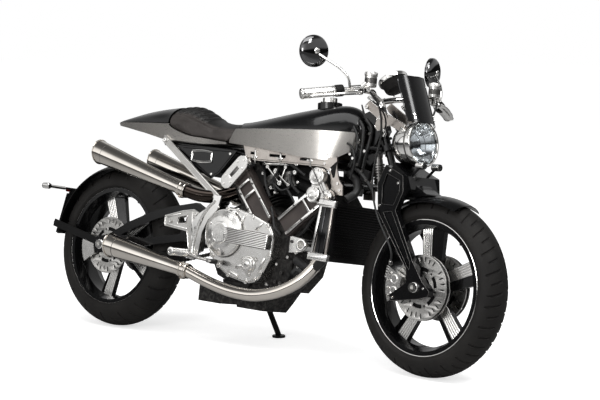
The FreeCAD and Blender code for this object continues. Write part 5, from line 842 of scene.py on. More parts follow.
discSizes = {"radius": 115.0, "inner": 45.0, "thickness": 4.5, "slots": 30, "beans": 6}
discPlaces = {
    "front_discs": {"body": "front_wheel", "centre": frontAxle, "y": (-64.0, -46.0, 46.0, 64.0), "hub": 42.5,
                    "finish": "frontDiscSteel"},
    "rear_disc": {"body": "rear_wheel", "centre": rearAxle, "y": (-88.0,), "hub": 42.5, "finish": "rearDiscSteel"},
}


def arcWindow(centre, low, high, fromAngle, toAngle, count=6):
    # A window between two radii, following the circle.
    turn = np.radians(np.linspace(fromAngle, toAngle, count))
    ring = np.stack([np.cos(turn), np.sin(turn)], axis=1)
    return np.vstack([centre + ring * low, centre + ring[::-1] * high])


def brakeDisc(centre, y, hub):
    middle = np.array([centre[0], centre[2]])
    windows = [circle(middle, hub, 48)[::-1]]
    for number in range(discSizes["slots"]):
        if number % 5 == 4:
            continue
        angle = number * 360 / discSizes["slots"]
        radii = (90, 108) if number % 2 else (87, 104)
        windows.append(arcWindow(middle, *radii, angle - 1.4, angle + 1.4, 2))
    for number in range(discSizes["beans"]):
        angle = number * 360 / discSizes["beans"]
        windows.append(arcWindow(middle, 58, 72, angle + 4, angle + 40))
        windows.append(circle(middle + 66 * np.array([math.cos(math.radians(angle + 50)),
                                                      math.sin(math.radians(angle + 50))]), 4.5, 12))
    half = discSizes["thickness"] / 2
    return plate(circle(middle, discSizes["radius"], 120), y - half, y + half, 0.4, 1.0, windows, steps=2)


for node, place in discPlaces.items():
    discs = [brakeDisc(place["centre"], y, place["hub"]) for y in place["y"]]
    addPiece(node + "_slotted", place["body"], together(discs), place["finish"], (node,))
    # Between the paired plates runs a black carrier ring that shows through their slots.
    carrier = [(50, -3), (109, -3), (109, 3), (50, 3)]
    rings = [ringLathe(carrier, place["centre"] + (0, y, 0), toLeft, 96)
             for y in ((-55, 55) if node == "front_discs" else (-82,))]
    addPiece(node + "_carrier", place["body"], together(rings), "blackSatin")
print("brake discs made")


# Engine, right side

cover = {
    "face": -130.0, "outline": [(570, 447), (580, 478), (612, 508), (660, 524), (712, 522), (790, 503), (871, 474),
                                (899, 432), (897, 356), (862, 285), (836, 255), (790, 244), (696, 262), (640, 292),
                                (600, 330), (566, 380)],
    "clutch": (659, 423), "pump": (795, 317), "bar": ((684, 419), (897, 407)), "barHeight": 58.0, "barRibs": 9,
}
edgeRing = rounded(cover["outline"], 14, 3, 9.0)
boltPlaces = [edgeRing[index] for index in range(1, len(edgeRing), 3)]
bosses = [lathe([(10.5, -6), (10.5, 1.6), (9.3, 2.6), (0.01, 2.6)], (x, cover["face"], z), toRight, 20)
          for x, z in boltPlaces]
addPiece("cover_bosses", "chassis", together(bosses), "castBright")
addPiece("cover_bolts", "chassis", bolts([(x, cover["face"] - 2.4, z) for x, z in boltPlaces], 5.6, 4.6),
         "polished")
clutchProfile = [(90.4, -24), (90.4, 12), (89.2, 14.2), (86, 15.0), (84.6, 14.0), (83.4, 15.6), (66, 24.4),
                 (64.8, 26.6),
                 (63, 27.2), (44, 27.6), (42.2, 28.4), (41.6, 33.6), (39.6, 35.6), (34, 36.2), (32.6, 35.2),
                 (0.01, 35.6)]
clutchCentre = (cover["clutch"][0], cover["face"], cover["clutch"][1])
addPiece("clutch_cover", "chassis", lathe(clutchProfile, clutchCentre, toRight, 128), "clutchFace",
         sharp=24)
seam = ringLathe([(89.6, 1.2), (92.6, 1.2), (92.6, -3), (89.6, -3)], np.array(clutchCentre), toRight, 96)
addPiece("clutch_seam", "chassis", seam, "darkSteel")
screws = [ray(turn) * 64 + clutchCentre + (0, -26.2, 0) for turn in np.radians(np.arange(30, 390, 60))
          if not -0.5 < math.sin(turn) < 0.5 or math.cos(turn) < 0]
boltPiece("clutch_screws", "chassis", screws, 5.2, 4.2, pair=False)


barStart, barEnd = (np.array([place[0], -160.4, place[1]]) for place in cover["bar"])
barUp = np.cross(unit(barEnd - barStart), toRight)
# A dark plate behind the ribs: painted shade in the gaps between them.
addPiece("oil_bar_painted_gap_shade", "chassis", bar(barStart, barEnd, cover["barHeight"], 4, toLeft, 1.4), "towerGrey")
rows = (np.arange(cover["barRibs"]) - (cover["barRibs"] - 1) / 2) * cover["barHeight"] / cover["barRibs"]
ribs = [bar(barStart + barUp * row - (0, 3.4, 0), barEnd + barUp * row * 0.94 - (0, 3.4, 0), 4.4, 5, toLeft, 1.4)
        for row in rows]
ribs += [bar(end - barUp * cover["barHeight"] * 0.5 - (0, 2.4, 0), end + barUp * cover["barHeight"] * 0.5 - (0, 2.4,
                                                                                                             0), 7, 6,
             toLeft, 2) for end in (barStart + (2, 0, 0), barEnd - (2, 0, 0))]
addPiece("oil_bar_ribs", "chassis", together(ribs), "polished")
pump = (cover["pump"][0], cover["face"], cover["pump"][1])
pumpProfile = [(33, -20), (33, 4), (31.5, 6), (27.6, 6.6), (27.4, 11), (25, 13.4), (20.6, 14.2), (19.5, 12.6),
               (13, 12.6),
               (12, 15.6), (8, 17), (0.01, 17)]
earPlaces = [ray(turn) * 36 + pump for turn in np.radians((35, 155, 275))]
ears = [lathe([(9.5, -14), (9.5, 4), (8.4, 5), (0.01, 5)], place, toRight, 20) for place in earPlaces]
addPiece("pump_cover", "chassis", together([lathe(pumpProfile, pump, toRight, 72)] + ears), "castBright",
         sharp=24)
addPiece("pump_bolts", "chassis", bolts([place - (0, 4.8, 0) for place in earPlaces], 5, 4), "polished")
webs = flatBars([
    ((735, -133, 300), (772, -133, 312), 10, 8, 2), ((700, -133, 285), (748, -133, 268), 9, 8, 2),
    ((640, -132, 505), (705, -132, 507), 7, 6, 2), ((748, -132, 498), (735, -132, 462), 8, 6, 2),
    ((842, -132, 478), (812, -132, 446), 8, 6, 2), ((872, -132, 350), (848, -132, 300), 8, 8, 2)])
addPiece("cover_webs", "chassis", together(webs), "castBright")
print("right engine cover made")


# Gear towers and cam covers

towers = {"crank": (871.9, 431.0), "angles": (130.4, 39.8), "face": -112.0, "ribOffset": 33.0, "ribWidth": 10.5}


def bankPoint(angle, along, across, y):
    # A place on a bank: along its axis from the crank, and across it to its outer side.
    turn = math.radians(angle)
    direction = ray(turn)
    outward = np.array([-math.sin(turn), 0, math.cos(turn)])
    if angle < 90:
        outward = -outward
    return np.array([towers["crank"][0], y, towers["crank"][1]]) + direction * along + outward * across


edges, towerBolts = [], []
for angle in towers["angles"]:
    y = towers["face"]
    for side in (-1, 1):
        edges.append(bar(bankPoint(angle, 62, side * towers["ribOffset"], y - 1.2),
                         bankPoint(angle, 246, side * towers["ribOffset"], y - 1.2), towers["ribWidth"], 5, toLeft,
                         1.4))
    for along in (196, 246):
        edges.append(bar(bankPoint(angle, along, -30, y - 1.2), bankPoint(angle, along, 30, y - 1.2), 9, 5, toLeft,
                         1.4))
    towerBolts += [bankPoint(angle, along, side * towers["ribOffset"], y - 3.4) for along in (150, 221, 246)
                   for side in (-1, 1)]
addPiece("tower_ribs", "chassis", together(edges), "machined")
boltPiece("tower_bolts", "chassis", towerBolts, 3.8, 3, "darkSteel", pair=False)

camCovers = {"rear": [(707, 692), (642, 623)], "front": [(1071, 664, 33.0), (1062, 598, 29.5), (1124, 594, 25.0)],
             "face": -134.0}


def camCap(x, z, radius):
    profile = [(radius + 0.6, -21), (radius + 0.6, -2), (radius - 0.6, 0.8), (radius * 0.88, 1.6), (radius * 0.84, 0.6),
               (radius * 0.66, 0.6), (radius * 0.62, 2.6), (radius * 0.3, 3.2), (radius * 0.26, 1.6), (0.01, 1.6)]
    return lathe(profile, (x, camCovers["face"], z), toRight, 64)


caps = [camCap(*place) for place in camCovers["front"]]
rearStart, rearEnd = (np.array(place) for place in camCovers["rear"])
along = unit(rearEnd - rearStart)
across = np.array([-along[1], along[0]])
capsule = np.vstack([circle(rearStart, 30.5, 24, math.atan2(along[1], along[0]) + math.pi / 2)[:13],
                     circle(rearEnd, 30.5, 24, math.atan2(-along[1], -along[0]) + math.pi / 2)[:13]])
slot = [rearStart + along * 22 - across * 7, rearEnd - along * 22 - across * 7, rearEnd - along * 22 + across * 7,
        rearStart + along * 22 + across * 7]
caps.append(plate(capsule, -137.5, -116.0, 1.6, 2, [np.array(slot)], steps=2))
addPiece("cam_caps", "chassis", together(caps), "castBright", sharp=26)
camBolts = [rearStart - along * 17, rearEnd + along * 17, rearStart + across * 18 + along * 10,
            rearStart - across * 18 + along * 10, rearEnd + across * 18 - along * 10,
            rearEnd - across * 18 - along * 10]
camBolts = [(x, -137.3, z) for x, z in camBolts]
for x, z, radius in camCovers["front"]:
    camBolts += [(x + radius * 0.75 * math.cos(turn), -134.8, z + radius * 0.75 * math.sin(turn))
                 for turn in np.radians((80, 200, 320))]
boltPiece("cam_bolts", "chassis", camBolts, 4.0, 3.4, pair=False)
slotEnds = [(spot[0], -136.2, spot[1]) for spot in (rearStart + along * 25, rearEnd - along * 25)]
addPiece("cam_slot", "chassis", bar(*slotEnds, 12, 2, toLeft, 0.8), "darkSteel")
split = together([bar((1044, -138.6, 702), (1096, -138.6, 630), 2.4, 3, toLeft, 0.6),
                  bar((1096, -137.4, 630), (1142, -137.4, 566), 2.2, 3, toLeft, 0.6)])
addPiece("cam_split_line", "chassis", split, "darkSteel")
print("towers and cam covers made")


# Headlamp, fly screen, instrument and mirrors

lamp = {"front": np.array([1446.0, 0, 815.0]), "forward": unit((0.992, 0, 0.124))}


def sphereProfile(radius, centre, edge, count):
    # Part of a ball seen from the side, from the axis out to the edge.
    across = np.linspace(0.01, edge, count)
    return [(r, math.sqrt(radius ** 2 - r ** 2) - centre) for r in across]


shellProfile = [(0.01, -120.6), (20, -119), (42, -112), (60, -99), (71, -82), (77.5, -60), (79, -40), (79, -18),
                (81, -16),
                (84, -14.5), (84.2, -4), (83.2, -1), (80, 0.6), (76.5, 0.2), (74.6, -3), (74.4, -14), (73, -16),
                (68, -27), (60, -40), (50, -51), (38, -60), (27, -66), (16, -69), (0.01, -70)]
addPiece("headlamp_bowl", "steering", lathe(shellProfile, lamp["front"], lamp["forward"], 96), "polished",
         ("headlamp_shell",), sharp=28)
glassProfile = sphereProfile(151, 141, 73.9, 22) + sphereProfile(148.4, 141, 73.9, 22)[::-1]
addPiece("headlamp_glass", "steering", lathe(glassProfile, lamp["front"], lamp["forward"], 96), "lampGlass",
         ("headlamp_lens",), sharp=60)
bulbProfile = [(0.01, -70), (15, -69), (15, -60), (12, -58), (10, -44), (12.5, -42), (12.5, -28), (11, -25), (6, -23.5),
               (0.01, -23.2)]
addPiece("headlamp_bulb", "steering", lathe(bulbProfile, lamp["front"], lamp["forward"], 40), "blackChrome",
         sharp=30)
reflectorRings = together([ringLathe([(r, a), (r + 1.6, a + 1.4), (r + 0.6, a + 2.6), (r - 0.8, a + 1.2)],
                                     lamp["front"],
                                     lamp["forward"], 72) for r, a in ((44, -55.5), (57, -43.5))])
addPiece("headlamp_rings", "steering", reflectorRings, "darkSteel")
clampRing = ringLathe([(79.2, -30), (80.6, -29.6), (80.6, -25.4), (79.2, -25)], lamp["front"], lamp["forward"], 96)
addPiece("headlamp_clamp", "steering", clampRing, "darkSteel")

screen = {"low": np.array([1462.0, 0, 888.0]), "high": np.array([1392.0, 0, 1053.0]), "radius": 88.0, "half": 55.0}
dial = {"centre": np.array([1272.0, 0, 1044.0]), "tilt": 32.0}
facing = np.array([-math.sin(math.radians(dial["tilt"])), 0, math.cos(math.radians(dial["tilt"]))])
bezel = ringLathe([(52.4, -14), (54.5, -12), (55, -1), (53.4, 3), (50, 4), (46.4, 2.4), (46, -2), (47, -6)],
                  dial["centre"], facing, 72)
addPiece("dial_bezel", "steering", bezel, "polished")
dialFace = lathe([(46.2, -4.5), (46.2, -1.6), (0.01, -1.6)], dial["centre"], facing, 48)
addPiece("dial_face", "steering", dialFace, "blackSatin")
dialSide, dialUp = np.array([0, 1.0, 0]), np.cross(facing, toLeft)
tickBase = dial["centre"] + facing * -1.2
ticks = []
for number in range(19):
    turn = math.radians(-135 + number * 15)
    way = dialSide * math.sin(turn) + dialUp * math.cos(turn)
    inner, width = (36, 1.6) if number % 2 else (33, 2.4)
    ticks.append(bar(tickBase + way * inner, tickBase + way * 41, width, 1.0, facing, 0.3))
needleWay = dialSide * math.sin(-2.0) + dialUp * math.cos(-2.0)
ticks.append(bar(dial["centre"] - needleWay * 8, dial["centre"] + needleWay * 34, 2.2, 1.4, facing, 0.4))
addPiece("dial_marks", "steering", together(ticks), "machined")
addPiece("dial_glass", "steering", lathe([(46, 1.6), (46, 3), (0.01, 3.6)], dial["centre"], facing, 48),
         "clearGlass")
cup = lathe([(0.01, -48.5), (26, -48.5), (38, -47), (41, -42), (46, -20), (50, -13), (51, -9), (0.01, -9)],
            dial["centre"], facing, 72)
addPiece("dial_cup", "steering", cup, "blackCast")


def screenPoint(turn, share, radius):
    # The screen is part of a tube standing along the line from its low edge to its high one.
    lean = unit(screen["high"] - screen["low"])
    forward = np.cross(toLeft, lean)
    axis = screen["low"] + (screen["high"] - screen["low"]) * share - forward * screen["radius"]
    return axis + forward * radius * np.cos(turn)[..., None] + np.array([0, 1, 0]) * radius * np.sin(turn)[..., None]


corner = math.radians(screen["half"])
edgePlaces = [(corner, share) for share in np.linspace(0.02, 0.98, 10)]
edgePlaces += [(turn, 0.995) for turn in np.linspace(corner, -corner, 26)[1:-1]]
edgePlaces += [(-corner, share) for share in np.linspace(0.98, 0.02, 10)]
edgePlaces += [(turn, 0.005) for turn in np.linspace(-corner, corner, 26)[1:-1]]
loop = [screenPoint(np.array(turn), share, screen["radius"] + 0.2) for turn, share in edgePlaces]
addPiece("screen_edge", "steering", tubeLoop(np.array(loop), 1.5, 8), "blackChrome")
screenBolts = together([lathe(hexBolt(4.2, 3.4), screenPoint(np.array(turn), share, screen["radius"] + 1.0),
                              screenPoint(np.array(turn), share, 10.0) - screenPoint(np.array(turn), share, 9.0), 12)
                        for turn in (-0.62, 0.62) for share in (0.12, 0.2)])
addPiece("screen_bolts", "steering", screenBolts, "polished")

mirrorFace = {"centre": (1184.0, 326.0, 1105.0), "radius": 55.0, "turn": 15.0}
for side, hand in ((-1, "right"), (1, "left")):
    centre = np.array(mirrorFace["centre"]) * (1, side, 1)
    turn = math.radians(mirrorFace["turn"])
    look = np.array([-math.cos(turn), -side * math.sin(turn), 0])
    rim = ringLathe([(54.6, 5.4), (56.6, 6.0), (56.8, 8.6), (54.4, 9.4), (51.6, 8.6), (51.4, 7.2)], centre, look, 72)
    glass = lathe([(52, 5.0), (52, 7.6), (0.01, 8.0)], centre, look, 64)
    dome = lathe([(53.0, 5.2), (56.2, 4.4), (57.0, 1.6), (56.4, -2.0), (54.2, -6.0), (50.4, -9.8), (45.6, -12.8),
                  (40.6, -14.9), (32.0, -17.0), (22.0, -18.4), (11.0, -19.2), (0.01, -19.4)], centre, look, 72)
    boss = lathe([(11, -16), (11, -20.2), (9.4, -22.4), (6, -23.6), (0.01, -24)], centre, look, 32)
    # The dome's darkened chrome is a painted dark reflection.
    for part, shape, finish, slot in (("rim", rim, "blackChrome", "gloss_black_paint"),
                                      ("glass", glass, "mirrorGlass", "chrome_trim"),
                                      ("dome", dome, "mirrorShellPaintedDark", "chrome_trim"),
                                      ("boss", boss, "polished", "chrome_trim")):
        addPiece("mirror_" + part + "_" + hand, "steering", shape, finish)
print("headlamp, screen, instrument and mirrors made")


# Handlebar: grips, levers, pots and clamps

barPath = np.array([(1224, 8, 958), (1238, 50, 972), (1290, 120, 984), (1306, 180, 985), (1290, 240, 978),
                    (1266, 290, 969), (1214, 404, 946)], float)
gripStart, gripEnd = barPath[-2] + (barPath[-1] - barPath[-2]) * 0.06, barPath[-1]
gripAxis = unit(gripEnd - gripStart)
gripLength = np.linalg.norm(gripEnd - gripStart)
gripProfile = [(11, -4), (18.6, -4), (19.4, -2), (19.4, 1), (17.2, 3)]
for ring in np.arange(8, gripLength - 14, 5.0):
    gripProfile += [(17.2, ring), (17.9, ring + 1.0), (17.9, ring + 3.2), (17.2, ring + 4.2)]
gripProfile += [(17.2, gripLength - 10), (19.2, gripLength - 8), (19.4, gripLength - 2), (17.6, gripLength + 0.6),
                (12.5, gripLength + 1.2), (12, gripLength + 3), (4, gripLength + 3.4), (0.01, gripLength + 3.4)]
grip = lathe(gripProfile, gripStart, gripAxis, 48)
addPiece("grips", "steering", bothSides(grip), "polished", sharp=30)
switch = lathe([(11, 0), (20, 0), (21, 2), (21, 26), (19.6, 28), (12, 28)], gripStart - gripAxis * 36, gripAxis, 40)
addPiece("switch_pods", "steering", bothSides(switch), "blackCast", sharp=30)
pot = np.array([1326.0, 176.0, 1000.0])
potProfile = [(12, -6), (18, -5), (21.4, -2), (21.6, 34), (23.4, 35), (23.6, 44), (22, 47.4), (14, 48.6), (13, 50),
              (6, 50),
              (0.01, 50)]
addPiece("fluid_pots", "steering", bothSides(lathe(potProfile, pot, (0, 0, 1), 56)), "machined",
         sharp=30)
windowRing = ringLathe([(21.5, 8), (22.0, 8.6), (22.0, 26.4), (21.5, 27)], pot, (0, 0, 1), 56)
addPiece("pot_bands", "steering", bothSides(windowRing), "darkSteel")
leverPath = smoothLine([(1300, 196, 975), (1322, 216, 973), (1316, 262, 966), (1288, 322, 954), (1256, 372, 943),
                        (1243, 392, 938)], 28)
leverSize = np.interp(np.linspace(0, 1, 28), [0, 0.12, 0.5, 0.9, 1], [8, 7.2, 5.2, 5.0, 7.0])
addPiece("hand_levers", "steering", bothSides(tube(leverPath, leverSize, 14)), "polished")
perch = together([bar((1288, 200, 982), (1306, 178, 988), 26, 24, (0, 0, 1), 4),
                  bar((1296, 206, 976), (1326, 220, 974), 18, 16, (0, 0, 1), 4),
                  lathe(hexBolt(8, 8), (1318, 214, 978), (0, 0, 1), 16)])
addPiece("lever_perches", "steering", bothSides(perch), "blackCast")
clampBolts = [(1224, side * 14, 970) for side in (-1, 1)] + [(1236, side * 52, 986) for side in (-1, 1)]
addPiece("bar_bolts", "steering", bolts(clampBolts, 6.5, 6, (0, 0, 1)), "polished")
print("handlebar parts made")


# Fork: bright chamfers round the blades and their pockets, lamps, clamps and hoses

blade = [(1332, 662), (1364, 730), (1447, 695), (1454, 640), (1425, 572), (1524, 400), (1574, 334), (1608, 306),
         (1604, 286), (1560, 274), (1434, 255), (1428, 276), (1500, 324), (1496, 372), (1344, 562)]
pockets = [[(1369, 562), (1408, 568), (1511, 396), (1510, 370), (1500, 382)],
           [(1360, 591), (1356, 654), (1372, 700), (1434, 678), (1436, 640), (1413, 590)]]
edgeLines = [edgeLine(blade, 9, 0.5, -100.5, 0.7)]
edgeLines += [edgeLine(pocket, 6, -0.4, -100.4, 0.5) for pocket in pockets]
addPiece("blade_edges", "steering", bothSides(together(edgeLines)), "darkSteel")
bladeBolts = [(1388, -101, 710), (1430, -101, 668), (1350, -101, 585), (1582, -101, 312), (1446, -101, 268)]
boltPiece("blade_bolts", "steering", bladeBolts, 5.4, 4)
axleCap = lathe([(19, -3), (19, 4), (17.6, 6), (13, 6.4), (12, 4), (6, 4), (0.01, 4)],
                (frontAxle[0], -101, frontAxle[2]),
                toRight, 48)
addPiece("axle_caps", "steering", bothSides(axleCap), "polished")
bracketBolts = [(1216, -62, 936), (1286, -62, 898), (1392, -62, 860)]
boltPiece("lamp_bracket_bolts", "steering", bracketBolts, 8.4, 6)
bracket = [(1206, 944), (1226, 960), (1300, 918), (1404, 876), (1396, 846), (1330, 872), (1276, 850), (1258, 866),
           (1268, 896), (1220, 926)]
addPiece("lamp_bracket_edges", "steering", bothSides(edgeLine(bracket, 9, 0.5, -61.0, 0.6)),
         "polished")
hosePaths = [
    ([(1330, 196, 990), (1352, 150, 930), (1338, 112, 840), (1320, 110, 740), (1316, 110, 650), (1352, 110, 548),
      (1424, 108, 438), (1428, 105, 384)], 3.7),
    ([(1300, 150, 962), (1334, 112, 920), (1330, 82, 880), (1306, 60, 850)], 3.2),
    ([(1280, 60, 950), (1318, 58, 900), (1314, 54, 860), (1296, 48, 836)], 3.4),
    ([(1262, 30, 930), (1292, 34, 890), (1292, 34, 856), (1282, 30, 836)], 4.6),
    ([(1310, 40, 1010), (1350, 40, 950), (1352, 36, 880), (1334, 30, 820)], 3.0),
]
hoses = hoseSet(hosePaths, 60)
hoses += [mirroredShape(hose) for hose in hoses[:3]]
addPiece("control_hoses", "steering", together(hoses), "hose", ("brake_hoses",))
fittings = []
for path, radius in hosePaths[:3]:
    for end, after in ((path[0], path[1]), (path[-1], path[-2])):
        way = unit(np.array(after, float) - end)
        fittings.append(lathe([(radius + 1, -4), (radius + 3, -3), (radius + 3, 8), (radius + 1.4, 9),
                               (radius + 1.4, 15),
                               (0.01, 15)], np.array(end, float), way, 12))
addPiece("hose_fittings", "steering", bothSides(together(fittings)), "polished")
lampPlaces = [np.array([1477.0, side * 43, 735]) for side in (-1, 1)]
lamps = [lathe([(8, -19), (12.6, -17), (13, 12), (12.4, 15), (10.6, 16), (10, 14), (0.01, 14)], place, (1, 0, 0), 32)
         for place in lampPlaces]
addPiece("front_lamp_cases", "steering", together(lamps), "polished")
lensParts = [lathe([(10.4, 13), (9.6, 17), (6, 19.4), (0.01, 20)], place, (1, 0, 0), 32) for place in lampPlaces]
addPiece("front_lamp_lenses", "steering", together(lensParts), "clearGlass")
caliperParts, caliperBolts, pistons = [], [], []
for turn in np.radians((162, 174, 186, 198)):
    caliperBolts.append(frontAxle + ray(turn) * 126 + (0, -96.5, 0))
for turn in np.radians((168, 192)):
    pistons.append(lathe([(17, -3), (16.4, 3), (13, 4), (12, 2.6), (0.01, 2.6)],
                         frontAxle + ray(turn) * 100 + (0, -93.2, 0), toRight, 32))
for turn in np.radians(np.arange(158, 204, 5)):
    way = ray(turn)
    caliperParts.append(bar(frontAxle + way * 137.4 + (0, -90, 0), frontAxle + way * 137.4 + (0, -42, 0), 4, 4, way, 1))
addPiece("caliper_ribs", "steering", bothSides(together(caliperParts + pistons)), "castBright")
boltPiece("caliper_bolts", "steering", caliperBolts, 5.4, 4.4)
print("fork parts made")


# Bodywork: rails, struts, badge frame, filler, exhaust clamps and mouths

badge = [(409, 733.5), (436, 736.5), (463, 737.5), (491, 736.0), (518, 731.5), (519, 711), (518.5, 690), (491, 686.6),
         (463, 685.6), (436, 687.2), (410.5, 691), (409, 712)]
frameLoops = [edgeLine(badge, 5, 1.5, -96.8, 2.0, 3), edgeLine(badge, 5, 6.5, -96.8, 0.8, 3)]
addPiece("badge_frame", "chassis", bothSides(together(frameLoops)), "machined")
panel = [(300, 750), (640, 742), (560, 650), (520, 628), (488, 641), (330, 722)]
addPiece("side_panel_edges", "chassis", bothSides(edgeLine(panel, 12, 7, -94.2, 1.8)),
         "blackPaint")
panelBolts = [(330, -95, 735), (610, -95, 728), (524, -95, 645)]
boltPiece("side_panel_bolts", "chassis", panelBolts, 5.5, 3.6)

strutBolts = together([lathe(hexBolt(8.5, 6), np.array(place, float) + (0, -5, 0), toRight, 20)
                       for place in ((262, -95.3, 766.6), (600, -133, 558))])
addPiece("strut_bolts", "chassis", bothSides(strutBolts), "polished")
strutEdges = together([bar(np.array([250, -98.2, 774 + rise]), np.array([610, -138.2, 552 + rise]), 2.2, 1.8, toLeft,
                           0.5)
                       for rise in (-12.5, 12.5)])
addPiece("strut_edges", "chassis", bothSides(strutEdges), "polished")

railBolts = [(700, -102.4, 722), (1080, -102.4, 716), (1108, -102.4, 694), (1122, -102.4, 622), (1160, -102.4, 622),
             (1148, -102.4, 646), (1085, -102.4, 748)]
boltPiece("rail_bolts", "chassis", railBolts, 5.4, 4)
clips = []
for x in (742, 866, 1010):
    clips.append(bar((x, -104, 752), (x + 4, -104, 700), 7, 4, toLeft, 1))
    clips.append(bar((x - 10, -104, 722), (x + 12, -104, 722), 8, 4, toLeft, 1))
    clips.append(lathe(hexBolt(4.6, 3.6), (x - 8, -105.6, 722), toRight, 12))
addPiece("rail_clips", "chassis", bothSides(together(clips)), "machined")
railLip = bar((676, -103.1, 716), (1074, -103.1, 708), 2, 1.6, toLeft, 0.5)
addPiece("rail_lip", "chassis", bothSides(railLip), "darkSteel")

filler = {"centre": np.array([992.0, 0, 932.0]), "tilt": 6.0}
fillerAxis = turnMatrix(toLeft, filler["tilt"]) @ np.array([0, 0, 1.0])
ringBolts = []
fillerAcross = np.cross(fillerAxis, toLeft)
for turn in np.radians(np.arange(0, 360, 60)):
    spot = filler["centre"] + (fillerAcross * math.cos(turn) + np.array([0, 1,
                                                                         0]) * math.sin(turn)) * 37 + fillerAxis * 12
    ringBolts.append(lathe(hexBolt(3.6, 5), spot, fillerAxis, 12))
addPiece("filler_bolts", "chassis", together(ringBolts), "darkSteel")
capTop = lathe([(27.6, 14), (27.9, 15), (27.9, 18.4), (26.6, 20.6), (22, 21.2), (20.6, 20), (8, 20), (7, 21.4),
                (0.01, 21.4)], filler["centre"], fillerAxis, 60)
addPiece("filler_top", "chassis", capTop, "machined")

# Each silencer from its front end to its mouth: lower right, upper right and upper left.
silencers = {"radius": 47.0, "runs": [((552, -190, 262), (121, -192, 326)), ((470, -160, 568), (-36, -160, 696)),
                                      ((470, 160, 568), (-36, 160, 696))]}
mouths, bands, lugs, baffles = [], [], [], []
for run in silencers["runs"]:
    start, end = np.array(run, float)
    along = unit(end - start)
    side = unit(np.cross(along, (0, 0, 1)))
    up = np.cross(side, along)
    turn = np.linspace(0, tau, 72, endpoint=False)
    ring = end + (side * np.cos(turn)[:, None] + up * np.sin(turn)[:, None]) * silencers["radius"]
    lip = ring + along * ((end[0] - ring[:, 0]) / along[0])[:, None]
    mouths.append(tubeLoop(lip, 2.4, 8))
    for reach, high in ((12, 28.9), (36, 29.1)):
        foot = start + along * reach
        bands.append(lathe([(27.5, -6), (high, -6), (high + 0.9, -5), (high + 0.9, 5), (high, 6), (27.5, 6)], foot,
                           along, 56))
    lug = start + along * 24 - up * 30
    lugs.append(bar(lug - side * 11, lug + side * 11, 10, 9, up, 2))
    lugs.append(lathe(hexBolt(5, 5), lug - side * 11, -side, 12))
    deep = end - along * 44
    baffles.append(lathe([(44, -1), (44, 0.6), (26, 1), (25, 7), (21, 7.5), (20, 1), (0.01, 0.8)], deep, along, 56))
addPiece("exhaust_lips", "chassis", together(mouths), "satinPipe")
addPiece("exhaust_bands", "chassis", together(bands + lugs), "satinPipe")
addPiece("exhaust_baffles", "chassis", together(baffles), "darkSteel")
print("bodywork parts made")


# Seat: a padded leather cushion blown up a little, then sewn across

sewing = {"from": 286.0, "to": 462.0, "pitch": 31.0, "depth": 7.0, "width": 4.6, "half": 76.0, "voxel": 5.0,
          "shrink": 2.0, "cap": 5.0, "bow": 14, "pillow": 3.4, "seamWidth": 3.0, "seamDepth": 2.4, "seamFrom": 270,
          "pressure": 4, "blownFrames": 20}


def meshPoints(mesh):
    flat = np.empty(len(mesh.vertices) * 3)
    mesh.vertices.foreach_get("co", flat)
    return flat.reshape(-1, 3)


def meshNormals(mesh):
    flat = np.empty(len(mesh.vertices) * 3)
    mesh.vertex_normals.foreach_get("vector", flat)
    return flat.reshape(-1, 3)


def setPoints(mesh, points):
    mesh.vertices.foreach_set("co", points.ravel())
    mesh.update()


def finished(thing):
    # The object's mesh with its modifiers applied.
    view = bpy.context.evaluated_depsgraph_get()
    return bpy.data.meshes.new_from_object(thing.evaluated_get(view))


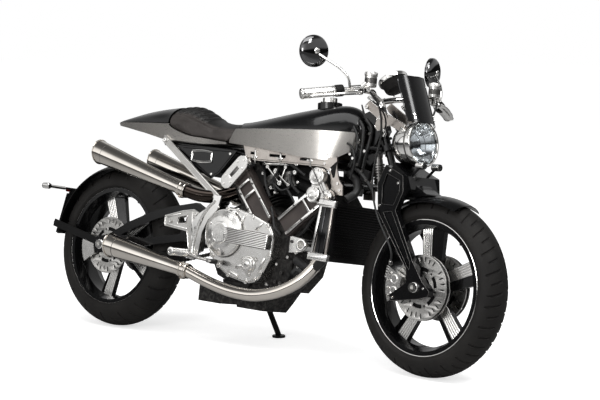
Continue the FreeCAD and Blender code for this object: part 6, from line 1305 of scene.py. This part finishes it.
def makeSeat():
    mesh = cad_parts["seat"].data.copy()
    work = bmesh.new()
    work.from_mesh(mesh)
    bmesh.ops.remove_doubles(work, verts=work.verts, dist=1e-5)
    bmesh.ops.recalc_face_normals(work, faces=work.faces)
    work.to_mesh(mesh)
    work.free()
    pad = bpy.data.objects.new("seat_pad", mesh)
    bpy.context.scene.collection.objects.link(pad)
    remesh = pad.modifiers.new("remesh", "REMESH")
    remesh.mode = "VOXEL"
    remesh.voxel_size = sewing["voxel"] * mm
    plain = finished(pad)
    pad.modifiers.remove(remesh)
    pad.data = plain
    setPoints(plain, meshPoints(plain) - meshNormals(plain) * sewing["shrink"] * mm)
    start = meshPoints(plain)
    cloth = pad.modifiers.new("cloth", "CLOTH")
    cloth.settings.use_pressure = True
    cloth.settings.uniform_pressure_force = sewing["pressure"]
    cloth.settings.effector_weights.gravity = 0
    cloth.settings.quality = 5
    for number in range(1, sewing["blownFrames"] + 1):
        bpy.context.scene.frame_set(number)
    blown = finished(pad)
    move = meshPoints(blown) - start
    pad.modifiers.remove(cloth)
    bpy.context.scene.frame_set(1)
    length = np.maximum(np.linalg.norm(move, axis=1), 1e-9)[:, None]
    start = start + move * np.minimum(1, sewing["cap"] * mm / length)
    setPoints(plain, start)
    # Channels are sunk square to the surface where it looks up, between the two side seams.
    normal = meshNormals(plain)
    place = (start / mm - standShift) @ standTurn
    x, y = place[:, 0], place[:, 1]
    looksUp = np.clip((normal[:, 2] - 0.25) / 0.3, 0, 1)
    inside = np.clip((sewing["half"] - np.abs(y)) / 8, 0, 1)
    bowed = x + sewing["bow"] * (y / sewing["half"]) ** 2
    reach = np.clip((bowed - sewing["from"]) / 4, 0, 1) * np.clip((sewing["to"] - bowed) / 4, 0, 1)
    off = np.abs((bowed / sewing["pitch"]) % 1 - 0.5) * sewing["pitch"]
    channel = np.exp(-((sewing["pitch"] / 2 - off) / sewing["width"]) ** 2)
    pillow = np.cos(off / sewing["pitch"] * math.pi) * sewing["pillow"]
    seam = np.exp(-((np.abs(y) - sewing["half"] - 4) / sewing["seamWidth"]) ** 2) * sewing["seamDepth"]
    seam = seam * np.clip((x - sewing["seamFrom"]) / 20, 0, 1)
    sink = (sewing["depth"] * channel - pillow) * reach * inside + seam
    setPoints(plain, start - normal * (sink * looksUp * mm)[:, None])
    sewn = plain.attributes.new("sewnPart", "FLOAT", "POINT")
    sewn.data.foreach_set("value", (inside * looksUp * np.clip((x - sewing["seamFrom"]) / 10, 0, 1)).astype(np.float32))
    smooth = pad.modifiers.new("smooth", "SUBSURF")
    smooth.levels = smooth.render_levels = 1
    plain.shade_smooth()
    plain.materials.clear()
    plain.materials.append(finishes["leather"])
    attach(pad, "chassis")
    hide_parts("seat")


makeSeat()
print("seat made")


# Radiator side columns, coolant elbows and the parts between the cylinders

columns = (((1150, -184, 556), (1128, -184, 374), 9, "machined"),
           ((1202, -184, 558), (1192, -184, 378), 8, "rawPlate"),
           ((1176, -182, 556), (1160, -182, 376), 40, "blackPaint"),
           ((1172, -184.6, 552), (1157, -184.6, 380), 5, "blackChrome"))
for number, (start, end, width, finish) in enumerate(columns):
    addPiece("radiator_column_" + str(number), "chassis", bothSides(bar(start, end, width, 9, toLeft, 2)),
             finish)
foot = plate([(1116, 392), (1112, 364), (1200, 360), (1206, 384)], -192, -172, 3, 9)
head = plate([(1140, 584), (1136, 556), (1212, 552), (1216, 578)], -190, -172, 3, 9)
addPiece("radiator_ends", "chassis", bothSides(together([foot, head])), "castBright")
elbow = tube(smoothLine([(1112, -118, 596), (1130, -140, 590), (1150, -166, 582), (1166, -182, 570)], 20), 12, 20)
window = plate([(1104, 701), (1134, 727), (1130, 668), (1122, 664)], -103.4, -101.0, 0.6, 5)
addPiece("bracket_windows", "chassis", bothSides(window), "blackSatin")
addPiece("coolant_elbows", "chassis", elbow, "castBright")
coolantHose = [tube(smoothLine([(1156, -140, 372), (1120, -136, 340), (1080, -118, 330), (1030, -104, 340),
                                (990, -90, 352)],
                               36), 17, 20),
               tube(smoothLine([(1206, -120, 590), (1226, -90, 620), (1200, -60, 660), (1150, -40, 690)], 30), 15, 20)]
addPiece("coolant_hoses", "chassis", together(coolantHose), "hose")
outlets = [ringLathe(profile, np.array([1036.0, 0, 410]), toLeft, 48) for profile in (
    [(15, -128), (22.5, -128), (23.5, -126), (23.5, -118), (22.6, -116), (15, -116)],
    [(14.2, -136.6), (19.5, -137.4), (22, -136.4), (22.4, -134), (14.2, -132)])]
addPiece("outlet_rings", "chassis", together(outlets), "polished")
finsBlock = [bar((1196, -150, z), (1196, 150, z - 0.5), 2.2, 10, (1, 0, 0), 0.6) for z in np.arange(384, 566, 9.0)]
addPiece("radiator_louvres", "chassis", together(finsBlock), "blackSatin")

bodies = []
for x, z, tilt in ((812, 648, 0.35), (892, 652, -0.35)):
    axis = np.array([math.sin(tilt), 0, math.cos(tilt)])
    bodies.append(lathe([(24, -36), (27, -34), (27, -26), (24, -24), (24, 10), (29, 13), (29, 24), (25, 27), (21, 27),
                         (20, 10), (0.01, 10)], np.array([x, -52.0, z]), axis, 36))
    bodies.append(lathe([(20, 0), (19, -3), (14, -4.5), (13, -2.5), (5, -2.5), (4, -7), (0.01, -7)],
                        np.array([x, -78.0, z - 6]), toLeft, 28))
addPiece("throttle_bodies", "chassis", together(bodies), "darkSteel", sharp=28)
bright = []
for x, z, radius in ((838, 676, 11), (796, 690, 8), (862, 632, 10), (906, 628, 7), (778, 664, 7), (930, 676, 9),
                     (884, 694, 7), (822, 612, 8), (950, 640, 6), (846, 596, 6)):
    bright.append(lathe([(radius * 0.7, 12), (radius, 10), (radius, -2), (radius * 0.8, -4), (radius * 0.5, -4),
                         (radius * 0.45, -1), (0.01, -1)], np.array([x, -86.0, z]), toLeft, 18))
linkage = flatBars([
    ((796, -88, 690), (862, -88, 632), 5, 4, 1), ((838, -90, 676), (906, -90, 628), 4, 4, 1),
    ((862, -86, 632), (884, -86, 694), 5, 4, 1), ((770, -84, 700), (940, -84, 706), 9, 8, 2)])
addPiece("throttle_linkage", "chassis", bothSides(together(bright + linkage)), "machined", sharp=28)
pipeRuns = [([(760, -70, 690), (790, -92, 660), (806, -96, 620), (826, -90, 580)], 5.5),
            ([(842, -76, 700), (852, -96, 670), (838, -98, 640), (850, -88, 600)], 4.5),
            ([(930, -70, 696), (918, -94, 660), (934, -98, 628), (966, -90, 600)], 5.5),
            ([(780, -80, 706), (850, -92, 716), (920, -92, 700), (980, -84, 668)], 6.0),
            ([(880, -60, 600), (900, -88, 612), (924, -92, 594), (940, -84, 566)], 4.5),
            ([(800, -84, 606), (836, -96, 628), (880, -98, 606), (916, -90, 616)], 3.5)]
addPiece("fuel_hoses", "chassis", bothSides(together(hoseSet(pipeRuns, 30, 10))), "hose")
print("radiator and intake parts made")


# Pivot castings, foot controls and the lower engine

arm = [(345, 468), (440, 494), (500, 503), (548, 482), (556, 418), (545, 345), (505, 327), (485, 356), (470, 414),
       (348, 427)]
armWindow = [(424, 466), (462, 474), (458, 446), (420, 443)]
armEdges = [edgeLine(arm, 10, 2.4, -139.6, 2.4), edgeLine(armWindow, 6, -3, -139.6, 2.2)]
ribs = flatBars([
    ((360, -140, 462), (430, -140, 480), 5, 5, 1.4), ((360, -140, 434), (470, -140, 424), 5, 5, 1.4),
    ((490, -140, 492), (500, -140, 400), 6, 5, 1.4), ((500, -140, 400), (524, -140, 340), 6, 5, 1.4),
    ((500, -140, 430), (548, -140, 424), 5, 5, 1.4), ((496, -140, 470), (548, -140, 466), 5, 5, 1.4)])
addPiece("casting_edges", "chassis", bothSides(together(armEdges + ribs)), "polished")
pivotCap = lathe([(24, -2), (24, 5), (22, 7), (16, 7.4), (15, 4), (9, 4), (8, 8), (0.01, 8)], (520, -139, 430),
                 toRight, 48)
addPiece("pivot_caps", "chassis", bothSides(pivotCap), "polished")
armBolts = [(512, -141, 484), (536, -141, 478), (534, -141, 352), (512, -141, 340), (380, -141, 448)]
boltPiece("casting_bolts", "chassis", armBolts, 7, 5)
brace = tube(smoothLine([(606, -146, 540), (574, -148, 512), (546, -148, 470), (528, -148, 420), (520, -148, 370),
                         (520, -148, 336)], 40), 6, 12)
addPiece("cover_brace", "chassis", bothSides(brace), "castBright")
pegProfile = [(9, -150), (13.4, -152)]
for y in np.arange(-156, -236, -6.0):
    pegProfile += [(13.4, y), (15.0, y - 1.2), (15.0, y - 4.0), (13.4, y - 5.2)]
pegProfile += [(13.4, -238), (16, -239), (16, -243), (9, -244), (8, -241), (0.01, -241)]
addPiece("foot_pegs", "chassis", bothSides(lathe(pegProfile, np.array([494.0, 0, 332]), toLeft, 28)), "machined",
         sharp=30)
toe = lathe([(6, -150), (9.5, -151), (9.5, -182), (8, -184), (0.01, -184)], np.array([648.0, 0, 312]), toLeft, 24)
addPiece("toe_pegs", "chassis", bothSides(toe), "hose")
lowBolts = [(905, -96, 330), (930, -96, 300), (950, -92, 360), (905, -96, 265), (985, -90, 380), (960, -92, 420),
            (880, -112, 252),
            (930, -96, 262), (1000, -88, 330)]
boltPiece("case_bolts", "chassis", lowBolts[::2], 6.5, 7, pair=False)
boltPiece("case_dark_bolts", "chassis", lowBolts[1::2], 6.5, 7, "darkSteel", pair=False)
lumps = [plate([(890, 350), (890, 250), (940, 246), (968, 290), (968, 350)], -92, -70, 4, 12),
         plate([(925, 440), (925, 372), (1000, 372), (1010, 410), (990, 440)], -86, -66, 4, 10),
         plate([(640, 250), (650, 226), (760, 220), (780, 246)], -96, -60, 4, 8)]
addPiece("case_lumps", "chassis", together(lumps), "blackCast")
filterProfile = [(30, 10), (34, 6), (34, -22), (31, -28), (18, -30), (16, -27), (0.01, -27)]
addPiece("oil_filter", "chassis", lathe(filterProfile, np.array([1000.0, -66, 296]), toLeft, 40), "blackPaint")
loom = [([(900, -94, 440), (880, -108, 470), (870, -108, 500), (850, -104, 540)], 5),
        ([(960, -80, 430), (1000, -84, 460), (1030, -86, 500), (1060, -84, 540)], 6),
        ([(930, -86, 250), (980, -84, 236), (1020, -76, 260), (1050, -70, 320)], 7)]
addPiece("case_hoses", "chassis", together(hoseSet(loom, 24)),
         "hose")
print("castings and foot controls made")


# Parts round the steering head

headRuns = [([(1180, -52, 880), (1204, -60, 850), (1208, -62, 790), (1198, -60, 730), (1170, -56, 700)], 6.5),
            ([(1160, -62, 860), (1190, -72, 820), (1192, -74, 760), (1172, -70, 712)], 5.0),
            ([(1190, -30, 890), (1222, -36, 856), (1220, -40, 800), (1208, -40, 744), (1202, -38, 690)], 7.5),
            ([(1140, -70, 800), (1180, -84, 780), (1198, -84, 730), (1180, -76, 668)], 4.5),
            ([(1150, -50, 720), (1200, -56, 700), (1240, -50, 664), (1262, -40, 630)], 8.0)]
addPiece("head_looms", "chassis", bothSides(together(hoseSet(headRuns, 36))),
         "hose")
headBoxes = [plate([(1150, 856), (1146, 806), (1196, 800), (1204, 850)], -58, -34, 3, 6),
             plate([(1160, 770), (1156, 716), (1204, 712), (1212, 764)], -62, -40, 3, 6),
             plate([(1206, 712), (1206, 664), (1244, 656), (1252, 700)], -56, -34, 3, 6)]
addPiece("head_boxes", "chassis", bothSides(together(headBoxes)), "blackSatin")
headBolts = [(1160, -63, 758), (1198, -63, 722), (1158, -59, 846), (1192, -59, 812), (1216, -57, 700), (1240, -57, 668),
             (1226, -66, 772), (1206, -80, 800), (1238, -64, 836), (1190, -84, 742)]
boltPiece("head_bolts", "chassis", headBolts[::3], 5.5, 5)
boltPiece("head_dark_bolts", "chassis", headBolts[1::3] + headBolts[2::3], 5.5, 5, "darkSteel")
print("steering head parts made")


# Rear lamps, rear hub and tail details

rearLamp = np.array([-345.0, 150.0, 540.0])
cases = lathe([(0.01, -20), (9, -19.6), (12.6, -16), (13, 8), (12.2, 14), (10.4, 15), (10, 12), (0.01, 12)], rearLamp,
              (-1, 0, 0), 32)
stalk = lathe([(5.4, -104), (7.2, -102), (7.2, -14), (5, -12), (0.01, -12)], rearLamp, toLeft, 18)
addPiece("rear_lamp_cases", "chassis", bothSides(together([cases, stalk])), "polished")
lens = lathe([(10.2, 11), (9.4, 15.5), (6, 18), (0.01, 19)], rearLamp, (-1, 0, 0), 32)
addPiece("rear_lamp_lenses", "chassis", bothSides(lens), "amberGlass")
tailLens = plate([(-34, 10), (34, 10), (30, -8), (-30, -8)], 0, 6, 1.2, 5,
                 place=lambda flat, depth: np.stack([-352 - depth, flat[:, 0], 535 + flat[:, 1]], axis=1))
addPiece("tail_lens", "chassis", tailLens, "redGlass")
hubCap = lathe([(20, -3), (20, 6), (18, 8.4), (12, 9), (11, 5), (7, 5), (0.01, 5)], (rearAxle[0], -136.0, rearAxle[2]),
               toRight, 40)
addPiece("rear_axle_nuts", "chassis", bothSides(hubCap), "polished")
print("rear details made")


# Left side of the engine, and the pins of the chain

leftCover = np.array([872.0, 130, 411])
leftProfile = [(92.6, -24), (92.6, 1.4), (90.4, 3.6), (84, 4), (82.4, 2), (58, 2), (56.4, 3.8), (46, 4.4), (43.6, 8),
               (42.4, 25), (39.6, 28.4), (22, 29), (20.4, 27), (0.01, 27)]
spokesLeft = [bar(leftCover + (math.cos(turn) * 50, 3, math.sin(turn) * 50), leftCover + (math.cos(turn) * 80, 3,
                                                                                          math.sin(turn) * 80),
                  5, 4, toLeft, 1.2) for turn in np.radians(np.arange(0, 360, 24))]
addPiece("left_cover", "chassis", together([lathe(leftProfile, leftCover, toLeft, 96)] + spokesLeft), "castBright",
         sharp=26)
leftBolts = [leftCover + (math.cos(turn) * 87, 3.2, math.sin(turn) * 87) for turn in np.radians(np.arange(15, 375, 45))]
addPiece("left_cover_bolts", "chassis", bolts(leftBolts, 4.4, 4, toLeft), "polished")
guard = plate([(548, 470), (560, 392), (600, 378), (660, 386), (668, 440), (650, 486), (600, 496)], 108, 113, 1.4, 14,
              [[(600, 446), (622, 442), (620, 420), (598, 424)]])
addPiece("sprocket_guard", "chassis", guard, "blackCast")

chainRun = {"rear": np.array([0.0, 324.6]), "front": np.array([603.0, 432.0]), "rearRadius": 92.0, "frontRadius": 40.0,
            "y": 97.0, "pitch": 15.875, "pin": 3.4, "half": 9.6}


def chainPins():
    # Both straight runs touch the two sprockets, and a pin crosses each joint of the links.
    gap = chainRun["front"] - chainRun["rear"]
    length = np.linalg.norm(gap)
    tilt = math.asin((chainRun["rearRadius"] - chainRun["frontRadius"]) / length)
    places = []
    for side in (1, -1):
        out = np.array([-gap[1], gap[0]]) / length * side
        normal = out * math.cos(tilt) + gap / length * math.sin(tilt)
        start = chainRun["rear"] + normal * chainRun["rearRadius"]
        end = chainRun["front"] + normal * chainRun["frontRadius"]
        steps = np.arange(0, np.linalg.norm(end - start), chainRun["pitch"])[:, None]
        places.append(start + unit(end - start) * steps)
    flat = np.vstack(places)
    pin = lathe([(chainRun["pin"], -chainRun["half"]), (chainRun["pin"], chainRun["half"])], np.zeros(3), toLeft, 8)
    centres = np.stack([flat[:, 0], np.full(len(flat), chainRun["y"]), flat[:, 1]], axis=1)
    return repeated(pin, centres)


addPiece("chain_pins", "chassis", chainPins(), "polished")
print("left side made")
